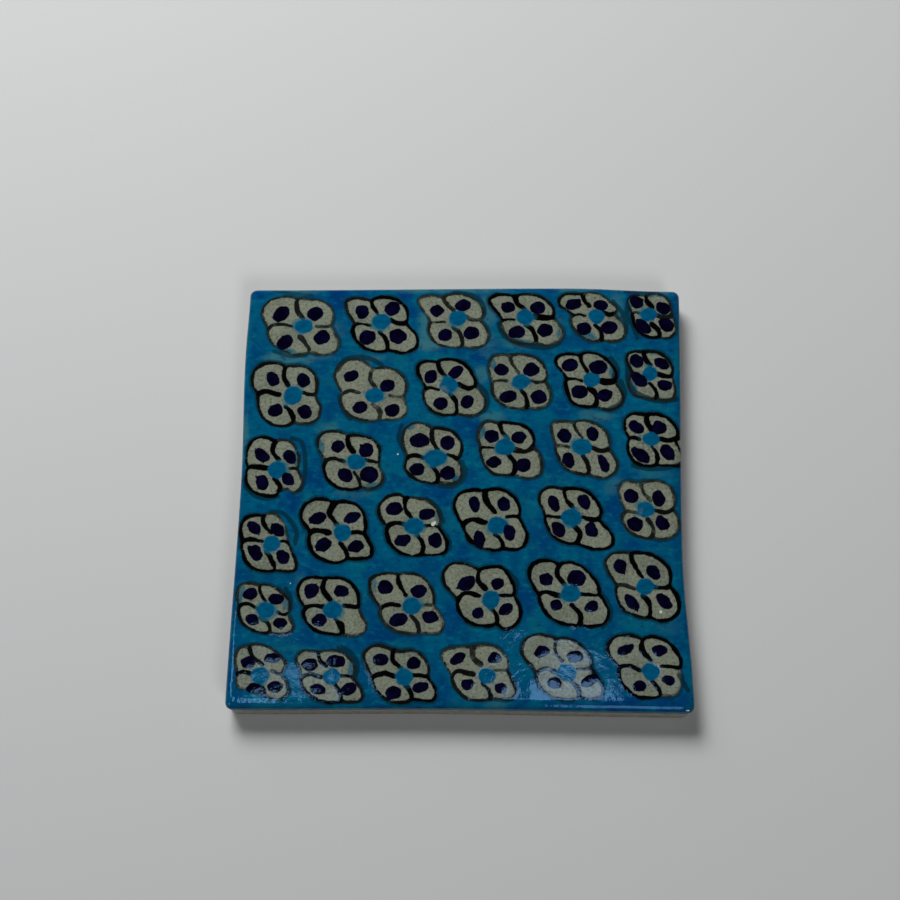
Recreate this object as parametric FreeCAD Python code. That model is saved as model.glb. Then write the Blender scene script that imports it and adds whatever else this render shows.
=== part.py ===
"""Hand-made square wall tile: one fired slab, glazed over its face, lying on its back.

The slab was cut by hand, so each side wanders a little inside its nominal square, the corners
are rounded off and the walls lean in towards the back. The glazed face is flat in the middle and
falls away near its sides in a soft elliptical pillow. The back is plain and flat, with its arris
rubbed off. Everything is one solid, because body and glaze are fired into one piece.

Frame: millimetres, +Z up. The origin is the centre of the back face, X runs along the front
side, Y from the front side to the back side, and the glazed face looks up.
"""

import FreeCAD, Part
import math
import os

# Overall size of the square that the slab fits in, and its thickness
WIDTH = 150.0
DEPTH = 150.0
THICKNESS = 10.0

# The glazed pillow: how far in from the side the face starts to fall, and by how much
PILLOW_WIDTH = 3.6
PILLOW_DROP = 1.8
PILLOW_STEPS = 8

# The walls: how far they lean in from the glaze line to the back, and the rubbed back arris
WALL_LEAN = 0.4
BACK_ARRIS = 0.5

# Corner radii, seen from above: at the glaze line, at the back, and inside the pillow on the face
CORNER_RADIUS = 2.4
BACK_CORNER_RADIUS = 5.0
FACE_CORNER_RADIUS = 1.2

# Each side as the cutter left it: (share of the side's length, distance inside the square).
# The side is straight along the square at each of these points and eases from one to the next.
# Sides run anticlockwise, seen from above: front to the right, right to the back, and so on.
FRONT_TRIM = ((0.0, 0.0), (0.45, 0.6), (1.0, 0.1))
RIGHT_TRIM = ((0.0, 0.0), (0.34, 2.1), (1.0, 0.5))
BACK_TRIM = ((0.0, 1.2), (0.26, 0.0), (1.0, 0.9))
LEFT_TRIM = ((0.0, 0.4), (0.17, 0.0), (0.49, 1.2), (1.0, 0.5))
TRIMS = (FRONT_TRIM, RIGHT_TRIM, BACK_TRIM, LEFT_TRIM)

PARTS_FOLDER = "parts"


def square_sides():
    """Start point, direction, inward direction and length of each side of the nominal square."""
    half_w = WIDTH / 2
    half_d = DEPTH / 2
    corners = [(-half_w, -half_d), (half_w, -half_d), (half_w, half_d), (-half_w, half_d)]
    sides = []
    for i, (x, y) in enumerate(corners):
        start = FreeCAD.Vector(x, y, 0)
        end = FreeCAD.Vector(*corners[(i + 1) % 4], 0)
        along = (end - start).normalize()
        inward = FreeCAD.Vector(-along.y, along.x, 0)
        sides.append((start, along, inward, (end - start).Length))
    return sides


def outline(z, inset, radius):
    """The slab's outline at height z, moved in by inset, as a wire of four sides and four corner arcs.

    A side is a curve through its trim points that runs parallel to the square at each of them, so
    it never swings out past them and it meets the corner arcs without a kink.
    """
    level = FreeCAD.Vector(0, 0, z)
    sides = square_sides()
    first_trims = [trim[0][1] + inset for trim in TRIMS]
    last_trims = [trim[-1][1] + inset for trim in TRIMS]
    edges = []
    for i, (start, along, inward, length) in enumerate(sides):
        trim = TRIMS[i]
        before = last_trims[i - 1]
        after = first_trims[(i + 1) % 4]
        leave = start + level + along * (before + radius) + inward * first_trims[i]
        arrive = start + level + along * (length - after - radius) + inward * last_trims[i]
        between = [
            start + level + along * (share * length) + inward * (distance + inset)
            for share, distance in trim[1:-1]
        ]
        points = [leave, *between, arrive]
        curve = Part.BSplineCurve()
        curve.interpolate(
            Points=points, Tangents=[along] * len(points), TangentFlags=[True] * len(points)
        )
        edges.append(curve.toShape())

        next_along = sides[(i + 1) % 4][1]
        centre = arrive + inward * radius
        middle = centre + (along - next_along).normalize() * radius
        finish = centre + along * radius
        edges.append(Part.Arc(arrive, middle, finish).toShape())
    return Part.Wire(edges)


def walls():
    """The unglazed walls, from the rubbed arris at the back up to the glaze line."""
    glaze_line = THICKNESS - PILLOW_DROP
    sections = [
        outline(0.0, WALL_LEAN + BACK_ARRIS, BACK_CORNER_RADIUS - BACK_ARRIS),
        outline(BACK_ARRIS, WALL_LEAN, BACK_CORNER_RADIUS),
        outline(glaze_line, 0.0, CORNER_RADIUS),
    ]
    return Part.makeLoft(sections, True, True)


def pillow():
    """The glazed edge: a quarter ellipse carried round the outline, from the glaze line to the face."""
    sections = []
    for step in range(PILLOW_STEPS + 1):
        turn = math.pi / 2 * step / PILLOW_STEPS
        inset = PILLOW_WIDTH * (1 - math.cos(turn))
        z = THICKNESS - PILLOW_DROP * (1 - math.sin(turn))
        radius = max(CORNER_RADIUS - inset, FACE_CORNER_RADIUS)
        sections.append(outline(z, inset, radius))
    return Part.makeLoft(sections, True, False)


def tile():
    """The whole fired slab as one solid."""
    return walls().fuse(pillow()).removeSplitter()


def main():
    os.makedirs(PARTS_FOLDER, exist_ok=True)
    shape = tile()
    shape.exportStep(os.path.join(PARTS_FOLDER, "tile.step"))
    box = shape.BoundBox
    print("tile: valid", shape.isValid(), "solids", len(shape.Solids), "faces", len(shape.Faces))
    print("volume cm3", round(shape.Volume / 1000, 2))
    print("x", round(box.XMin, 3), round(box.XMax, 3), "y", round(box.YMin, 3), round(box.YMax, 3))
    print("z", round(box.ZMin, 3), round(box.ZMax, 3))


main()
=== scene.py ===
"""Looks for the azulejo tile: one fired slab with a brush-painted, glazed face.

The tile's surface is worked out with numpy as one closed mesh: a fine grid over the face, rings down
the walls and rings in to the middle of the back. The painting is carried on the face's grid as
distances in millimetres to the brush strokes, and the material turns those into glaze colours.
"""

import math

import bpy
import numpy as np
from mathutils import Matrix, Vector


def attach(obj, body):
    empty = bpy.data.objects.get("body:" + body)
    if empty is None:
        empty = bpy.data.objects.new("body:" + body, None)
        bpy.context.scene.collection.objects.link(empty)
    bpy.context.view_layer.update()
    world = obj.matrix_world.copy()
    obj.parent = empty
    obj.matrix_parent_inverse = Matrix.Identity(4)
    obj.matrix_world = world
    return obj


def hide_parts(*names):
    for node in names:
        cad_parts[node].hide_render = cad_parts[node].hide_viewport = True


MM = 0.001

# The slab, in millimetres, as in the part's source
WIDTH = 150.0
DEPTH = 150.0
THICKNESS = 10.0
PILLOW_WIDTH = 3.6
PILLOW_DROP = 1.8
GLAZE_LINE = THICKNESS - PILLOW_DROP
WALL_LEAN = 0.4
BACK_ARRIS = 0.5
CORNER_RADIUS = 2.4
BACK_CORNER_RADIUS = 5.0
FRONT_TRIM = ((0.0, 0.0), (0.45, 0.6), (1.0, 0.1))
RIGHT_TRIM = ((0.0, 0.0), (0.34, 2.1), (1.0, 0.5))
BACK_TRIM = ((0.0, 1.2), (0.26, 0.0), (1.0, 0.9))
LEFT_TRIM = ((0.0, 0.4), (0.17, 0.0), (0.49, 1.2), (1.0, 0.5))
TRIMS = (FRONT_TRIM, RIGHT_TRIM, BACK_TRIM, LEFT_TRIM)

# How finely the surface is divided
PILLOW_ROWS = 8
FACE_ROWS = 246
WALL_ROWS = 7
ARRIS_ROWS = 3
BACK_SHARES = (0.985, 0.94, 0.8, 0.55, 0.25)
SIDE_STEPS = 400
ARC_STEPS = 12

# Relief of the fired surface, in millimetres
GLAZE_WAVE = 0.1
PAINT_RELIEF = 0.02
DOT_DOME = 0.014
CLAY_WAVE = 0.09

# How unevenly the hand moved and the fire left the surface: the amount, in mm or as a share of a
# width or a wave, and over how many mm it changes
HAND_SHAKE = (0.16, 2.3)
BRUSH_SWELL = (0.3, 3.0)
DOT_WOBBLE = (0.26, 1.6)
DISK_WOBBLE = (0.22, 1.2)
PATCH_WOBBLE = (1.1, 3.5)
BROAD_SWELL = (0.6, 17)
FINE_SWELL = (0.4, 6)
CLAY_LUMPS = (1, 3.1)
CLAY_GRAINS = (0.6, 1.2)

# How far a dot's paint spreads, in mm, how much broader a line spreads, and the tip of a tail, in mm
DOT_SPREAD = 0.16
LINE_SPREAD = 1.18
TAIL_TIP = 0.15

# How far a flower reaches from its disk and a tail from its start, and what is far from all, in mm
FLOWER_REACH = 21
TAIL_REACH = 5
FAR = 20.0

# Random heights each way before the noise repeats, where in them it starts, and what keeps a length
# from being 0
LATTICE = 64
LATTICE_START = 1000
TINY = 1e-12

# The windows' height over the tile in metres, and the light of a pale and of a deep blue sky
WINDOW_HEIGHT = 1.21
SKY_LIGHT = "#8cc2ff"
DEEP_SKY_LIGHT = "#80bcff"

# The painted flowers, row by row from the back of the tile, as the brush left them, in millimetres.
# A flower is its disk (x, y, half width, half height) and four petals, clockwise from the upper left.
# A petal is its outline from one notch towards the next, the line that runs in from its first notch
# (a middle point, the inner end, the width), its dot (x, y, length, width, tilt in degrees), and how
# much paint the outline and the line hold, from 0 to 9.
FLOWERS = (
    # First row
    ((-55.2, 59.5, 3.2, 2.7), (
        ((-67.3, 58.5, -68.8, 61, -69.8, 64.5, -68.8, 68, -65, 70.5, -60.5, 70.7),
         (-65, 60.2, -59, 59.5, 1.2), (-63.3, 64.2, 6.4, 4.6, 50), 5, 6),
        ((-57.5, 69.8, -53.8, 69.8, -49.5, 69.2, -46, 66.6, -45.2, 62.8),
         (-57.8, 66, -55.5, 62.5, 1.5), (-51.3, 64.3, 5.3, 4.9, 40), 4, 6),
        ((-46, 59.8, -44.6, 57, -42.8, 53.3, -44, 50, -48.2, 48.7),
         (-48, 59.4, -51, 59.5, 1.0), (-48.8, 55.2, 5.6, 4.9, 50), 3, 4),
        ((-53, 50, -57.5, 48.9, -62.5, 50.9, -66.3, 54),
         (-54.3, 53, -56.3, 55.5, 1.4), (-61.3, 53.4, 5.6, 4.6, 40), 4, 5))),
    ((-28.3, 61.3, 3.1, 3.0), (
        ((-37.3, 60.3, -38.8, 62.6, -40.4, 65.8, -40.8, 68.8, -38.6, 70.3, -34.8, 70),
         (-35, 60.4, -32, 59.8, 1.0), (-35.2, 65.1, 4.8, 4.4, 90), 6, 8),
        ((-32, 69.3, -30.2, 70.5, -25.8, 70.5, -21.5, 68.4, -19.4, 65),
         (-31.5, 67, -29.7, 64.3, 1.3), (-24.7, 66.3, 5.2, 5.0, 0), 8, 9),
        ((-20, 61, -18.6, 59.2, -15.8, 55, -16.4, 51.5, -20.4, 49.6),
         (-22.5, 60.9, -25.4, 62, 1.6), (-22.5, 55.8, 5.8, 5.3, 0), 8, 9),
        ((-26, 50.8, -29.2, 50, -33.6, 51.3, -37, 54.6, -38.2, 57.8),
         (-26.6, 54.6, -28.8, 57.3, 1.5), (-33, 55.3, 5.6, 5.4, 0), 9, 9))),
    ((-2, 62.8, 3.1, 2.9), (
        ((-11.3, 61, -12.4, 63.5, -14.8, 66.8, -15.7, 69.5, -13.8, 71.2, -9.5, 71.1),
         (-9, 61.2, -6.3, 61.3, 0.9), (-9.2, 65.6, 4.8, 4.2, 0), 4, 6),
        ((-7, 70.5, -4.8, 71.9, -0.8, 71.8, 3.6, 70, 6.4, 66.5, 6.6, 64),
         (-5.6, 68, -3.3, 65.8, 1.1), (-0.3, 67.7, 5, 4.2, 0), 5, 5),
        ((5.3, 62.5, 7.4, 59.6, 8.7, 56.2, 7.6, 53.2, 4, 51.6),
         (3, 62.2, 1, 63.5, 1.2), (2.8, 57.1, 5.2, 4.6, 30), 4, 5),
        ((-0.6, 52.2, -4, 51.9, -8.4, 52.7, -11, 55.5, -11.8, 58.8),
         (-1.2, 57, -3.5, 59.5, 1.3), (-6.2, 56.4, 4.8, 4.4, 30), 5, 6))),
    ((21.3, 63.3, 2.9, 2.8), (
        ((13.5, 62, 12.6, 63.8, 10.1, 67, 8.9, 69.8, 11, 71.6, 15, 71.7),
         (15.5, 62.4, 17.5, 62.3, 1.0), (15.3, 67, 4.8, 4, 0), 8, 9),
        ((18, 71, 19.6, 71.8, 24, 71.7, 28.4, 69.6, 31.2, 66),
         (18.5, 68.5, 21, 66.3, 1.4), (25.5, 66.7, 5, 4.2, 10), 7, 9),
        ((30.6, 63.2, 32.2, 61, 34.2, 57.5, 33, 54, 29.5, 52.4),
         (27.5, 63, 24.6, 63.5, 1.9), (28.1, 58.2, 5, 4.6, 0), 4, 9),
        ((24.8, 53.6, 21.4, 53, 17, 54, 14, 57, 12.7, 60),
         (24, 58, 21.3, 60.3, 1.4), (18.5, 57.5, 5.6, 4.6, 20), 5, 9))),
    ((45.8, 63.5, 2.7, 2.7), (
        ((38, 64, 36, 65.7, 33.3, 67.5, 32.9, 70, 35.5, 72.1, 39, 72.2),
         (40, 64.4, 42, 63.7, 1.0), (37.9, 68.2, 5.4, 4.2, 15), 7, 9),
        ((41.3, 71.8, 43.2, 72.6, 46.6, 72.2, 50.2, 69.5, 52.8, 66.3),
         (41.8, 69.5, 43.3, 67.4, 1.7), (47.5, 67.8, 4.5, 4.1, 0), 5, 9),
        ((51.5, 64.5, 53.5, 62.3, 55.5, 58.6, 54.6, 55.4, 51.6, 54),
         (50, 64.2, 48, 65, 1.3), (50, 59.3, 5.4, 4.7, 10), 4, 9),
        ((47.2, 54.8, 44, 54.3, 40.4, 56.3, 37.8, 59.5, 37, 62.4),
         (47.2, 58, 45.3, 60.3, 1.4), (41.5, 59, 5, 4.4, 20), 5, 8))),
    ((63.7, 64.3, 2.9, 2.6), (
        ((58.3, 64.6, 57.2, 67, 56.9, 69.8, 59, 71.7),
         (59.4, 65.2, 60.6, 64.8, 0.8), (59.9, 69.1, 4.5, 4.2, -30), 6, 6),
        ((63, 71.5, 64.8, 72.3, 68, 72, 70.4, 70, 71.3, 67),
         (63.4, 69.4, 65, 67, 1.3), (68.8, 66.7, 5, 4.6, -45), 5, 9),
        ((71.4, 64, 72.3, 62, 72.8, 59, 72, 56.7, 69.6, 55.3),
         (69, 63.2, 66.5, 64, 1.8), (69.7, 60.4, 5.5, 4.4, -50), 6, 6),
        ((67.2, 55.9, 63.6, 55.8, 60.3, 57.8, 58.7, 61),
         (66.8, 58.5, 64.7, 60.5, 1.5), (61.7, 59.8, 6, 4, -45), 8, 9))),
    # Second row
    ((-57.8, 33.5, 3.2, 3.5), (
        ((-69.5, 34, -71.2, 36.4, -72, 39.6, -70.8, 43.4, -67, 45.4, -62.8, 45.2),
         (-67.5, 35, -62.5, 33.8, 1.5), (-64.8, 39.6, 5, 4, -60), 7, 9),
        ((-60.7, 43.8, -58, 44.4, -53.5, 43.8, -50.6, 41, -49.7, 37.2),
         (-61, 40, -59.5, 37.3, 1.3), (-54.5, 39.2, 5.1, 4.2, -60), 6, 8),
        ((-50.3, 33.9, -49.4, 31.8, -48.2, 28.6, -49, 25, -52, 23.2),
         (-52.4, 34, -54.5, 34.6, 1.1), (-53.3, 27.5, 5.6, 4.2, -60), 5, 7),
        ((-57.2, 23.6, -60.6, 22.2, -65, 23.3, -68.2, 26.8, -69.4, 31),
         (-57.7, 26.8, -60, 29.5, 1.4), (-63.4, 28, 4.9, 4.6, 0), 7, 9))),
    ((-30, 33.7, 3.3, 2.7), (
        ((-40.7, 34, -42, 36.6, -43.5, 40.2, -42.7, 44, -39.5, 46.6, -35, 46.6),
         (-38.5, 35.4, -35, 34.5, 1.2), (-38, 40.7, 5, 3.8, 20), 4, 5),
        ((-30.8, 43.4, -28.6, 43.9, -24.5, 43.5, -20.6, 41, -19.2, 37.2),
         (-31.5, 39.5, -29.5, 36.5, 1.3), (-25.5, 37.3, 5.1, 4.4, 10), 5, 5),
        ((-20.3, 33.5, -19.4, 31, -18.8, 27.8, -20.4, 25.8, -24, 24.8),
         (-22.5, 33.1, -24.8, 33.6, 1.0), (-23.8, 28.3, 5.1, 4.4, 20), 3, 3),
        ((-28, 25.1, -32.5, 24.4, -37.4, 26, -40.4, 29, -41.3, 31.8),
         (-28.2, 28, -30.3, 30.5, 1.5), (-34.6, 29.3, 4.7, 4.4, 0), 5, 4))),
    ((-4.8, 37.6, 3.0, 3.1), (
        ((-12.6, 36, -13.4, 38.5, -15.2, 42, -15.2, 45, -12.5, 46.4),
         (-10.5, 36.5, -8.2, 35.8, 1.2), (-10.9, 40.7, 4.8, 4.2, 60), 8, 8),
        ((-8.5, 46.1, -7, 47, -3.6, 47.2, 0.4, 45.3, 3.4, 41.6),
         (-8, 43.5, -5.5, 40.4, 1.3), (-2.3, 42.5, 5.2, 4, 45), 9, 9),
        ((4.2, 37.3, 6.2, 35.2, 7.9, 31.6, 6.8, 28.2, 3.4, 26.5),
         (1.8, 36.4, -1.6, 37.9, 1.5), (1.6, 31.5, 4.7, 4, 60), 5, 9),
        ((-2.2, 27.1, -6, 26.5, -10.4, 28.3, -12.9, 31.8),
         (-2.3, 31.5, -4.3, 34.3, 1.4), (-7.4, 30.8, 4.7, 4.4, 0), 7, 9))),
    ((19.8, 39, 3.1, 2.9), (
        ((10.3, 38.8, 9.5, 41.2, 8.9, 44.5, 9.9, 47.8, 13, 49.1),
         (12.5, 39.5, 15, 39.2, 1.0), (13.1, 43.3, 4.7, 4.5, 0), 4, 5),
        ((16.3, 48.6, 18.4, 49, 22, 48.7, 26.4, 46.5, 28.5, 42.6),
         (17, 45.5, 19, 42.2, 1.3), (23.4, 43.4, 5.3, 4.8, 0), 5, 5),
        ((28.1, 39.3, 29.1, 37, 29.9, 33.6, 28.5, 30.2, 25, 29),
         (25.4, 38.6, 22.8, 39.4, 1.2), (26, 33.3, 5.1, 5, 0), 4, 6),
        ((21.7, 29.4, 16.5, 29.4, 12.5, 31.3, 10.2, 35),
         (21.6, 33, 19.7, 36, 1.3), (15.3, 33.4, 5.8, 4.2, 15), 5, 8))),
    ((43.8, 39.8, 2.8, 2.8), (
        ((35.3, 39.6, 34.4, 41.7, 32.2, 45, 31.9, 47.5, 34.5, 49.2),
         (38, 40, 40.5, 39.3, 1.1), (36.6, 45.2, 5.5, 4.6, 20), 9, 9),
        ((40.3, 49, 42.6, 49.8, 46.6, 48.9, 50.5, 45.4, 52.2, 41.6),
         (40.5, 46.5, 42.5, 42.8, 1.5), (46.1, 44.4, 5.7, 5.2, 0), 8, 9),
        ((51.2, 39.2, 52.7, 37.2, 54.4, 33.6, 53.4, 30.4, 49.2, 28.7),
         (49, 38.9, 46.8, 39.3, 2.0), (48.3, 34, 5.1, 4.2, 20), 6, 9),
        ((44.8, 30.2, 41.5, 29.7, 37.5, 31, 35.7, 35),
         (45.2, 34, 43, 36.6, 1.5), (39.6, 35.2, 5.4, 4.8, 0), 9, 9))),
    ((63.5, 42, 2.7, 2.6), (
        ((57.7, 42, 57, 44, 55.8, 47, 56.5, 49.6, 59, 50.3),
         (58.8, 42.2, 60, 41.7, 1.0), (59.2, 46.7, 5, 4.3, -50), 7, 7),
        ((61.8, 50, 64, 50.4, 67, 49.7, 70, 47.2, 71.2, 44),
         (62.3, 47.4, 64, 45, 1.5), (67.7, 45.8, 5, 3.6, -40), 7, 9),
        ((70.8, 41.3, 71.4, 39, 72, 35.6, 71.3, 33, 68, 32.3),
         (68.6, 41.2, 66.4, 41.8, 1.4), (68.4, 37.8, 4.9, 4.1, -20), 5, 9),
        ((65.3, 33.1, 61, 33.2, 57.5, 35, 56.2, 38.6),
         (65.3, 36.2, 63.5, 38.5, 1.4), (60.1, 39.8, 6.1, 4, -45), 5, 9))),
    # Third row
    ((-61.7, 6.4, 3.1, 3.0), (
        ((-71.2, 7.2, -72.2, 9.8, -72.2, 13.5, -70.5, 16.8, -67, 18.1),
         (-69, 7.5, -65, 7, 1.6), (-67.2, 11.7, 5.8, 3.7, -50), 8, 9),
        ((-62.6, 16.7, -60, 17.1, -57, 15.8, -54.9, 12, -54.6, 8.8),
         (-63.5, 13, -61.3, 10, 1.5), (-57.7, 11.2, 5.1, 3.9, -60), 5, 9),
        ((-55, 6.7, -53.7, 4, -53.2, 1.2, -54.3, -1, -56, -1.6, -58, -0.4),
         (-56, 6.9, -57.5, 6.9, 0.9), (-57.8, 3.2, 4.9, 3.8, -50), 5, 7),
        ((-60.6, -0.8, -61.4, -2.4, -63.6, -2.9, -68, -1.9, -71.3, 0.8, -72, 4.4),
         (-60.6, 0.8, -62.3, 3.3, 1.4), (-66.3, 1.7, 5.1, 4.2, -60), 8, 9))),
    ((-35.5, 9.3, 3.0, 3.0), (
        ((-45.7, 9.4, -46.6, 11.4, -48.3, 14.5, -48.5, 17.5, -46.3, 20.1, -42, 20.3),
         (-43, 10.7, -39.3, 9.3, 1.2), (-41.7, 15, 4.3, 4.2, 0), 6, 7),
        ((-38.2, 18.7, -35, 18.9, -31, 18, -28.2, 15.4, -27.5, 12),
         (-38.1, 15.6, -36.3, 13, 1.4), (-31.9, 13.6, 4.9, 4.6, 60), 7, 9),
        ((-28, 9.3, -27.4, 7.2, -26.3, 4.5, -27, 1.5, -30, 0),
         (-30, 9.6, -32.5, 10.1, 1.1), (-30.9, 4.9, 5.9, 5.5, 0), 5, 7),
        ((-33.8, 0.3, -36.2, -0.4, -40.2, 0, -44, 2.5, -45.9, 6),
         (-34.1, 3, -36, 5.8, 1.2), (-38.8, 4.6, 5.1, 4.2, -50), 8, 7))),
    ((-8.8, 10.9, 3.7, 3.1), (
        ((-17.8, 11.2, -19.2, 14, -20, 18, -18.9, 21.8, -15.5, 23.6, -11.6, 22.6),
         (-15.5, 11.9, -12.5, 10.8, 1.4), (-14.2, 17.2, 6, 4.8, 0), 5, 8),
        ((-9.9, 21.2, -7, 21.5, -3, 20.2, -0.2, 16.6, -0.1, 13.4),
         (-9.9, 17.5, -8, 13.8, 1.3), (-4.8, 16.4, 5.1, 4.6, 50), 7, 7),
        ((-1.5, 10.8, -0.9, 9.2, -0.1, 6.6, -0.4, 3.6, -3, 1.8),
         (-3, 11.6, -5, 12, 1.2), (-4.6, 5.5, 5.1, 4.8, 50), 5, 8),
        ((-8.1, 2.3, -12, 2.3, -16, 3.8, -18.7, 7.4),
         (-8.1, 5.4, -9.8, 7.7, 1.5), (-14.8, 6.9, 4.9, 4.4, 0), 7, 9))),
    ((14.4, 15, 3.4, 3.0), (
        ((6.4, 14.6, 5.6, 18, 6.3, 22.2, 8, 24),
         (8.5, 14.8, 10.8, 14.6, 1.0), (10.1, 18.9, 4.6, 4.2, 0), 5, 8),
        ((13, 23.6, 15.6, 23.8, 20, 22.8, 23, 20.7, 24.2, 17.6),
         (13.3, 21, 15.5, 17.8, 1.3), (19.2, 18.5, 4.7, 4, 20), 8, 8),
        ((23.9, 15, 25.8, 12.6, 26.8, 9, 26.2, 5.4, 22.6, 3.8),
         (21.6, 13.5, 18, 13.9, 1.6), (20.7, 8.6, 5, 4.6, 90), 5, 7),
        ((17.3, 5.2, 13.5, 4.9, 10, 6, 7.3, 9.4, 6.5, 12.4),
         (17.6, 9.5, 15.8, 12, 1.4), (10.7, 9.5, 4.5, 4, 20), 6, 9))),
    ((40.3, 15.2, 3.4, 3.0), (
        ((31.6, 15.2, 31, 18, 30.2, 21, 30.6, 23.5, 33.5, 24.3),
         (33.5, 15.7, 36.3, 15, 1.0), (34.5, 19.2, 5, 4.2, -60), 4, 5),
        ((38, 24, 41, 24.6, 45, 23.3, 48.4, 20.3, 49.4, 17),
         (38.3, 21.5, 40.3, 18.5, 1.0), (43.8, 19.9, 5.1, 3.9, -75), 5, 6),
        ((49, 14.5, 50.4, 12.4, 51.9, 9.4, 51, 6, 47.4, 4),
         (47, 13.8, 43, 15, 1.5), (47.5, 9, 6.4, 3.3, -70), 5, 7),
        ((42, 5.6, 38, 6, 34.5, 7.8, 32.3, 11.5),
         (42.1, 9, 40.5, 12, 1.3), (35.6, 10.4, 5.3, 3.8, -75), 6, 7))),
    ((63.4, 18.2, 2.8, 2.6), (
        ((56.2, 18.2, 55, 20.6, 54.6, 23.5, 56, 26.4, 59, 27.2),
         (57.5, 18.5, 59.5, 18, 1.3), (58.5, 22.4, 5.3, 4, -40), 8, 8),
        ((62.3, 26.7, 65.4, 27.2, 69, 25.8, 71.7, 22.6),
         (62.3, 24, 64, 21, 1.4), (66.3, 22.4, 5.1, 4.3, -50), 9, 9),
        ((72.2, 18.9, 71.7, 17.2, 72.6, 15.2, 73.6, 12.8, 73.7, 10.4, 72.6, 8.8, 70, 8.5),
         (69.8, 17.7, 66.5, 18, 1.5), (68.7, 13.2, 5.5, 4.3, -55), 8, 9),
        ((64.8, 8.8, 60.2, 8.8, 57, 10.8, 55.7, 14),
         (65.2, 12.4, 63.6, 15.2, 1.4), (59.7, 12.4, 6.3, 3.8, -40), 8, 9))),
    # Fourth row
    ((-62.2, -19.7, 2.9, 2.9), (
        ((-71.8, -19.2, -72.4, -17, -72.8, -14, -71.5, -11, -68.5, -9.7),
         (-69.5, -18.2, -65.3, -19, 1.3), (-68.2, -14.3, 5.2, 3.5, -45), 9, 9),
        ((-65.2, -10, -62.3, -9.2, -59.7, -11, -57.7, -14.6),
         (-65, -13, -62.5, -15.8, 1.2), (-60.3, -15, 5.3, 3.8, -45), 3, 8),
        ((-57, -19, -55.3, -22.5, -53.9, -26, -53.9, -28.4, -55.6, -29.2),
         (-58.4, -18.7, -59.5, -18.9, 1.0), (-58.3, -24, 5, 3.8, -60), 7, 9),
        ((-60.7, -28.8, -65, -29, -69, -27.3, -71.1, -24),
         (-62.1, -25, -63.8, -22.5, 1.3), (-67.4, -22.8, 5.6, 3.9, -50), 8, 9))),
    ((-39, -15.8, 3.0, 2.9), (
        ((-49.5, -15.6, -50.9, -13.6, -52.9, -10.5, -52.5, -7, -49.5, -4.4, -45.5, -4),
         (-47, -14.9, -43.5, -15.7, 1.9), (-47.3, -10.8, 5.7, 4, 20), 8, 9),
        ((-42, -5.4, -40, -4.8, -36.5, -5.1, -33, -7.5, -31.6, -11.5),
         (-43.4, -9, -40.7, -13, 1.6), (-36, -10.4, 5.6, 3.4, 30), 9, 9),
        ((-31.8, -15.6, -30.4, -18.2, -29, -21.5, -29.4, -23.8, -33, -24.6),
         (-33.8, -15.5, -35.8, -15.7, 1.2), (-34.4, -20.3, 5.1, 3.8, 25), 9, 9),
        ((-37.1, -24.6, -40, -26.1, -43.5, -25.7, -47.4, -23.5, -49.7, -20),
         (-37.7, -22, -39.5, -19.3, 1.4), (-45, -19.8, 5.3, 4.5, 40), 9, 9))),
    ((-15.3, -13.3, 3.1, 3.0), (
        ((-24, -13.4, -25.6, -11.8, -27.1, -9, -27, -6, -24.5, -3, -21, -2.2),
         (-21.5, -12.2, -18.3, -12.8, 1.4), (-22.1, -7.2, 5.6, 4.4, 15), 7, 9),
        ((-18, -3.4, -15, -3.3, -11, -4.5, -8, -7.5, -6.7, -11),
         (-18.4, -7, -16.3, -10.3, 1.5), (-11.3, -9.1, 5, 3.8, 15), 5, 9),
        ((-7.4, -13.5, -5.9, -15.7, -4.3, -19, -4.9, -22, -8, -23.2),
         (-9.6, -13.1, -12, -13.2, 1.1), (-8.3, -18.2, 5.1, 4.4, -75), 8, 9),
        ((-12.8, -23, -17, -23.3, -20.5, -22, -23.5, -18.5),
         (-12.4, -19, -14.3, -16.5, 1.5), (-19, -18.2, 5.1, 4, 15), 9, 9))),
    ((12.2, -12.8, 3.5, 3.0), (
        ((0.9, -12.6, -0.4, -11, -1.6, -8.4, -2, -4.6, 0, -1.5, 4, -0.4),
         (3.5, -10.9, 8, -11.8, 1.6), (4.6, -5.3, 5.4, 3.3, -80), 9, 9),
        ((8.1, -1, 10.6, -0.1, 15, -0.8, 18, -3.5, 19.5, -7),
         (8.6, -4.6, 11.3, -8.5, 1.6), (14.2, -5.5, 5, 3.8, -80), 9, 9),
        ((19, -9.9, 20.6, -12.6, 21.9, -16, 21, -19.7, 17.5, -21.2),
         (17.2, -9.7, 15.3, -9.9, 1.2), (16.1, -15.6, 5.5, 3.7, -80), 9, 9),
        ((13.7, -20.8, 9.5, -21.2, 5.5, -20, 2.5, -17),
         (13.7, -18.4, 11.5, -16, 1.5), (6.2, -17.5, 5.5, 3.4, -80), 9, 9))),
    ((36.6, -9.8, 3.4, 3.1), (
        ((28, -9.6, 27.4, -7.8, 26, -4.5, 26.5, -1.2, 29.2, 0.6),
         (30.4, -9.7, 33.5, -9.8, 1.1), (30.7, -5, 6.2, 3.6, -65), 7, 8),
        ((34.4, 0, 37.6, 0.3, 42, -1, 45, -4.4, 46.4, -7.8),
         (34.6, -3.2, 37, -6.5, 1.3), (40.7, -4.3, 5.2, 3.8, -70), 9, 9),
        ((45.3, -10.4, 47.3, -12.6, 49.7, -16, 50, -19, 47.4, -20.7, 42, -20.4),
         (42.6, -10.4, 40, -9.8, 1.4), (43, -14, 5, 3.8, -80), 8, 9),
        ((38, -18.7, 33.5, -18.3, 29.8, -15.5),
         (39.3, -15.4, 37.3, -12.8, 1.4), (32.3, -14, 5.5, 3.8, -60), 8, 9))),
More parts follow.
